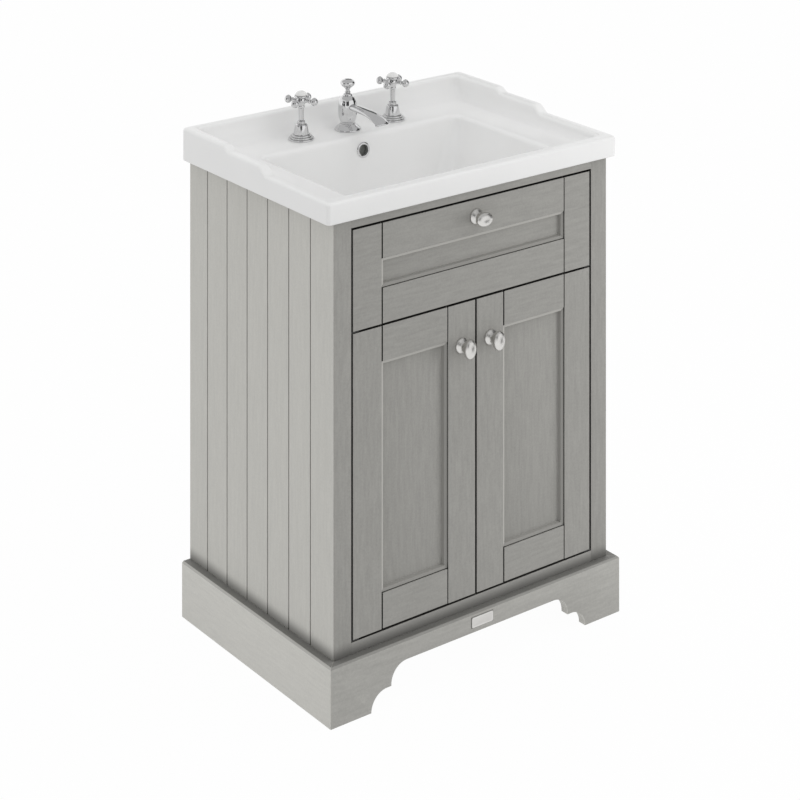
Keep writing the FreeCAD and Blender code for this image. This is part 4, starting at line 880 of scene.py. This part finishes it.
# each loop of the arm has its reach, height, half width, half thickness and dip
spoutForm = {"cage": [(21.8, 0), (23.6, 0), (24.2, 0.6), (24.1, 2.2), (22.4, 4.4), (18.6, 7.6), (15.2, 10.0),
                      (13.3, 11.6), (12.9, 12.8), (13.6, 14.8), (15.4, 19.0), (16.8, 25.0), (17.4, 32.0),
                      (17.3, 40.0), (16.6, 47.0), (15.2, 53.0), (13.2, 57.2), (10.8, 60.2), (9.2, 61.2),
                      (8.6, 61.8), (8.4, 63.0), (7.6, 64.4), (5.4, 65.6), (3.4, 66.2), (2.56, 66.2),
                      (2.56, 60)],
             "cageSteps": 28, "tail": [(2.56, 0), (12.6, 0), (13, 0.5)], "shank": [(13, -0.4), (13, 0)],
             "arm": [(4, 42.6, 7.8, 6.2, 0), (14, 42.7, 8.2, 6.0, 0), (26, 42.9, 8.9, 5.8, 0),
                     (40, 43.1, 9.8, 5.6, 0), (56, 43.1, 10.9, 5.4, 2), (72, 42.2, 12.0, 5.2, 6),
                     (86, 40.0, 13.2, 5.0, 16), (96, 36.6, 14.2, 4.8, 32), (101.8, 33.2, 14.8, 4.5, 48),
                     (104.2, 30.6, 15.0, 4.1, 57), (104.4, 29.9, 13.6, 3.4, 58), (103.4, 30.9, 12.0, 2.5, 58),
                     (100.6, 33.2, 11.0, 2.0, 52)],
             "armSteps": 16}


def makeSpout():
    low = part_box("spout")[0]
    bm = bmesh.new()
    verts = turn(bm, spoutForm["cage"], spoutForm["cageSteps"])
    verts += addTail(bm, low, spoutForm["tail"], spoutForm["shank"])
    for degrees in (90, -90):
        verts += addPort(bm, degrees)
    angles = [math.tau * step / spoutForm["armSteps"] for step in range(spoutForm["armSteps"])]
    ring = None
    for reach, height, wide, thick, dip in spoutForm["arm"]:
        tilt = rotated(dip, "X")
        middle = Vector((0, -reach * mm, height * mm))
        spots = [tilt @ Vector((math.cos(angle) * wide * mm, 0, math.sin(angle) * thick * mm)) + middle
                 for angle in angles]
        ring = drawLoop(bm, ring, spots) if ring else startLoop(bm, spots)
        verts += ring
    bmesh.ops.holes_fill(bm, edges=loopEdges(bm, ring))
    standOnDeck(bm, verts)
    addPiece("spoutBody", bm, "spout", [chrome], "spout", smoothing=2)


makeSpout()

liftKnob = {"cage": [(0, -118), (2.3, -118), (2.5, -117.6), (2.5, -60), (2.5, 62), (2.5, 66.4), (5.2, 66.7),
                     (5.6, 67.4), (5.0, 68.5), (3.8, 69.7), (3.6, 71.0), (4.2, 73.0), (6.6, 75.6),
                     (10.2, 78.2), (12.8, 81.0), (13.5, 83.8), (12.9, 86.6), (10.6, 88.8), (6.6, 90.4),
                     (0, 91.0)]}


def makeLiftKnob():
    bm = bmesh.new()
    standOnDeck(bm, turn(bm, liftKnob["cage"]))
    addPiece("liftKnob", bm, "lift_rod", [chrome], "lift_rod", smoothing=2)


makeLiftKnob()
print("taps made")


# nodes that keep their own solid

keptFinish = {"inside_board": insideBoard, "chrome": chrome, "brass": brass, "steel": steel, "rubber": rubber,
              "catch_plastic": catchCase, "painted_board": paintUp, "satin_nickel": nickel,
              "ceramic": ceramic, "porcelain": porcelain}
for node, item in frame["nodes"].items():
    finish = darkSteel if node == "pivot_plates" else keptFinish[slotOf[node]]
    item.data.materials.clear()
    item.data.materials.append(finish.holder)
print("kept nodes finished")


# floor, world, light and camera

studio = {"worldLight": 0.84, "floorHalf": 9, "floorTone": 0.80, "floorLight": 0.58, "whiteShare": 0.975}


def emptyTree(holder):
    tree = Tree(holder)
    tree.tree.nodes.clear()
    return tree


def close(tree, surface, kind="ShaderNodeOutputMaterial"):
    tree.feed(tree.tree.nodes.new(kind).inputs["Surface"], surface)


def seenRays(tree):  # 1 for camera, glossy and transmission rays
    camera, glossy, through = (tree.node("ShaderNodeLightPath", output=f"Is {kind} Ray")
                               for kind in ("Camera", "Glossy", "Transmission"))
    return camera.join("MAXIMUM", glossy).join("MAXIMUM", through)


def glow(tree, tone, kind="ShaderNodeEmission"):
    return tree.node(kind, None, {"Color": tint((1, 1, 1), tone), "Strength": 1.0})


def makeWorld():  # pure white where it is seen, softer where it lights
    world = bpy.data.worlds.new("studio")
    bpy.context.scene.world = world
    tree = emptyTree(world)
    soft = tree.node("ShaderNodeBackground", None,
                     {"Color": tint((1, 1, 1)), "Strength": studio["worldLight"]})
    white = glow(tree, 1.0, "ShaderNodeBackground")
    surface = tree.node("ShaderNodeMixShader", None, {0: seenRays(tree), 1: soft, 2: white})
    close(tree, surface, "ShaderNodeOutputWorld")


def addSheet(name, half):
    bm = bmesh.new()
    bmesh.ops.create_grid(bm, x_segments=1, y_segments=1, size=half)
    mesh = bpy.data.meshes.new(name)
    bm.to_mesh(mesh)
    bm.free()
    sheet = bpy.data.objects.new(name, mesh)
    bpy.context.scene.collection.objects.link(sheet)
    return sheet


def makeFloor():
    tree = emptyTree(bpy.data.materials.new("paleFloor"))
    matte = tree.node("ShaderNodeBsdfDiffuse", None, {"Color": tint((1, 1, 1), studio["floorTone"])})
    shine = tree.node("ShaderNodeMixShader", None,
                      {0: seenRays(tree), 1: glow(tree, studio["floorLight"]), 2: glow(tree, 1.0)})
    close(tree, tree.node("ShaderNodeMixShader", None, {0: studio["whiteShare"], 1: matte, 2: shine}))
    addSheet("studioFloor", studio["floorHalf"]).data.materials.append(tree.holder)


makeWorld()
makeFloor()


def aimAt(item, spot, aim):
    item.location = spot
    item.rotation_euler = (Vector(aim) - Vector(spot)).to_track_quat("-Z", "Y").to_euler()


lamps = {"side": {"spot": (-2.6, 0.9, 0.55), "aim": (-0.29, 0.0, 0.45), "size": 1.6, "power": 1.6},
         "front": {"spot": (1.25, -1.05, 0.62), "aim": (0.2, -0.2, 0.55), "size": 0.6, "power": 5.6},
         "top": {"spot": (0.40, -0.60, 2.6), "aim": (0.0, 0.03, 0.8), "size": 0.8, "power": 2.4}}

for name, setting in lamps.items():
    lamp = bpy.data.lights.new(f"{name}Lamp", "AREA")
    lamp.size = setting["size"]
    lamp.energy = setting["power"]
    holder = bpy.data.objects.new(f"{name}Lamp", lamp)
    bpy.context.scene.collection.objects.link(holder)
    holder.visible_camera = False
    holder.visible_glossy = name == "side"  # keeps the metal free of hot spots
    aimAt(holder, setting["spot"], setting["aim"])

flags = {"front": {"spot": (-2.9, -3.9, 2.6), "aim": (0, 0, 0.8), "size": 3.4, "tone": 0.06},
         "over": {"spot": (0, 0.1, 2.7), "aim": (0, 0.1, 0.8), "size": 6.0, "tone": 0.55},
         "behind": {"spot": (2.0, 2.6, 2.1), "aim": (0, 0.1, 0.85), "size": 0.9, "tone": 0.05},
         "low": {"spot": (0.78, -1.30, 0.14), "aim": (0, -0.25, 0.6), "size": 0.7, "tone": 0.05},
         "right": {"spot": (2.1, -0.5, 1.35), "aim": (0, 0, 0.9), "size": 1.9, "tone": 0.04},
         "left": {"spot": (-2.0, 0.1, 1.05), "aim": (0, 0.1, 0.9), "size": 1.5, "tone": 0.04}}

for name, setting in flags.items():  # sheets seen only by reflection
    flag = addSheet(f"{name}Flag", setting["size"] / 2)
    tree = emptyTree(bpy.data.materials.new(f"{name}Flag"))
    close(tree, glow(tree, setting["tone"]))
    flag.data.materials.append(tree.holder)
    aimAt(flag, setting["spot"], setting["aim"])
    flag.visible_camera = False
    flag.visible_diffuse = False
    flag.visible_shadow = False
    flag.visible_transmission = False

viewCamera = {"spot": (-2.3828, -3.1306, 1.9877), "yaw": 37.19, "fall": 0.40969, "lens": 101.493,
              "sensor": 36, "far": 60}


def addCamera():  # a level view camera with a dropped back, so that uprights stay upright
    yaw = math.radians(viewCamera["yaw"])
    ahead = Vector((math.sin(yaw), math.cos(yaw), 0))
    right = Vector((math.cos(yaw), -math.sin(yaw), 0))
    up = Vector((0, 0, 1))
    aim = ahead - up * viewCamera["fall"]
    camera = bpy.data.cameras.new("viewCamera")
    camera.sensor_width = viewCamera["sensor"]
    camera.lens = viewCamera["lens"] * aim.length
    camera.clip_end = viewCamera["far"]
    holder = bpy.data.objects.new("viewCamera", camera)
    bpy.context.scene.collection.objects.link(holder)
    stand = bpy.data.objects.new("cameraStand", None)
    bpy.context.scene.collection.objects.link(stand)
    holder.parent = stand
    leaning = Matrix((right, up, -aim.normalized())).transposed().to_4x4()
    holder.matrix_parent_inverse = Matrix.Translation(viewCamera["spot"]) @ leaning
    bpy.context.scene.camera = holder


addCamera()
bpy.context.scene.view_settings.view_transform = "Standard"
bpy.context.view_layer.update()
print("stage set")
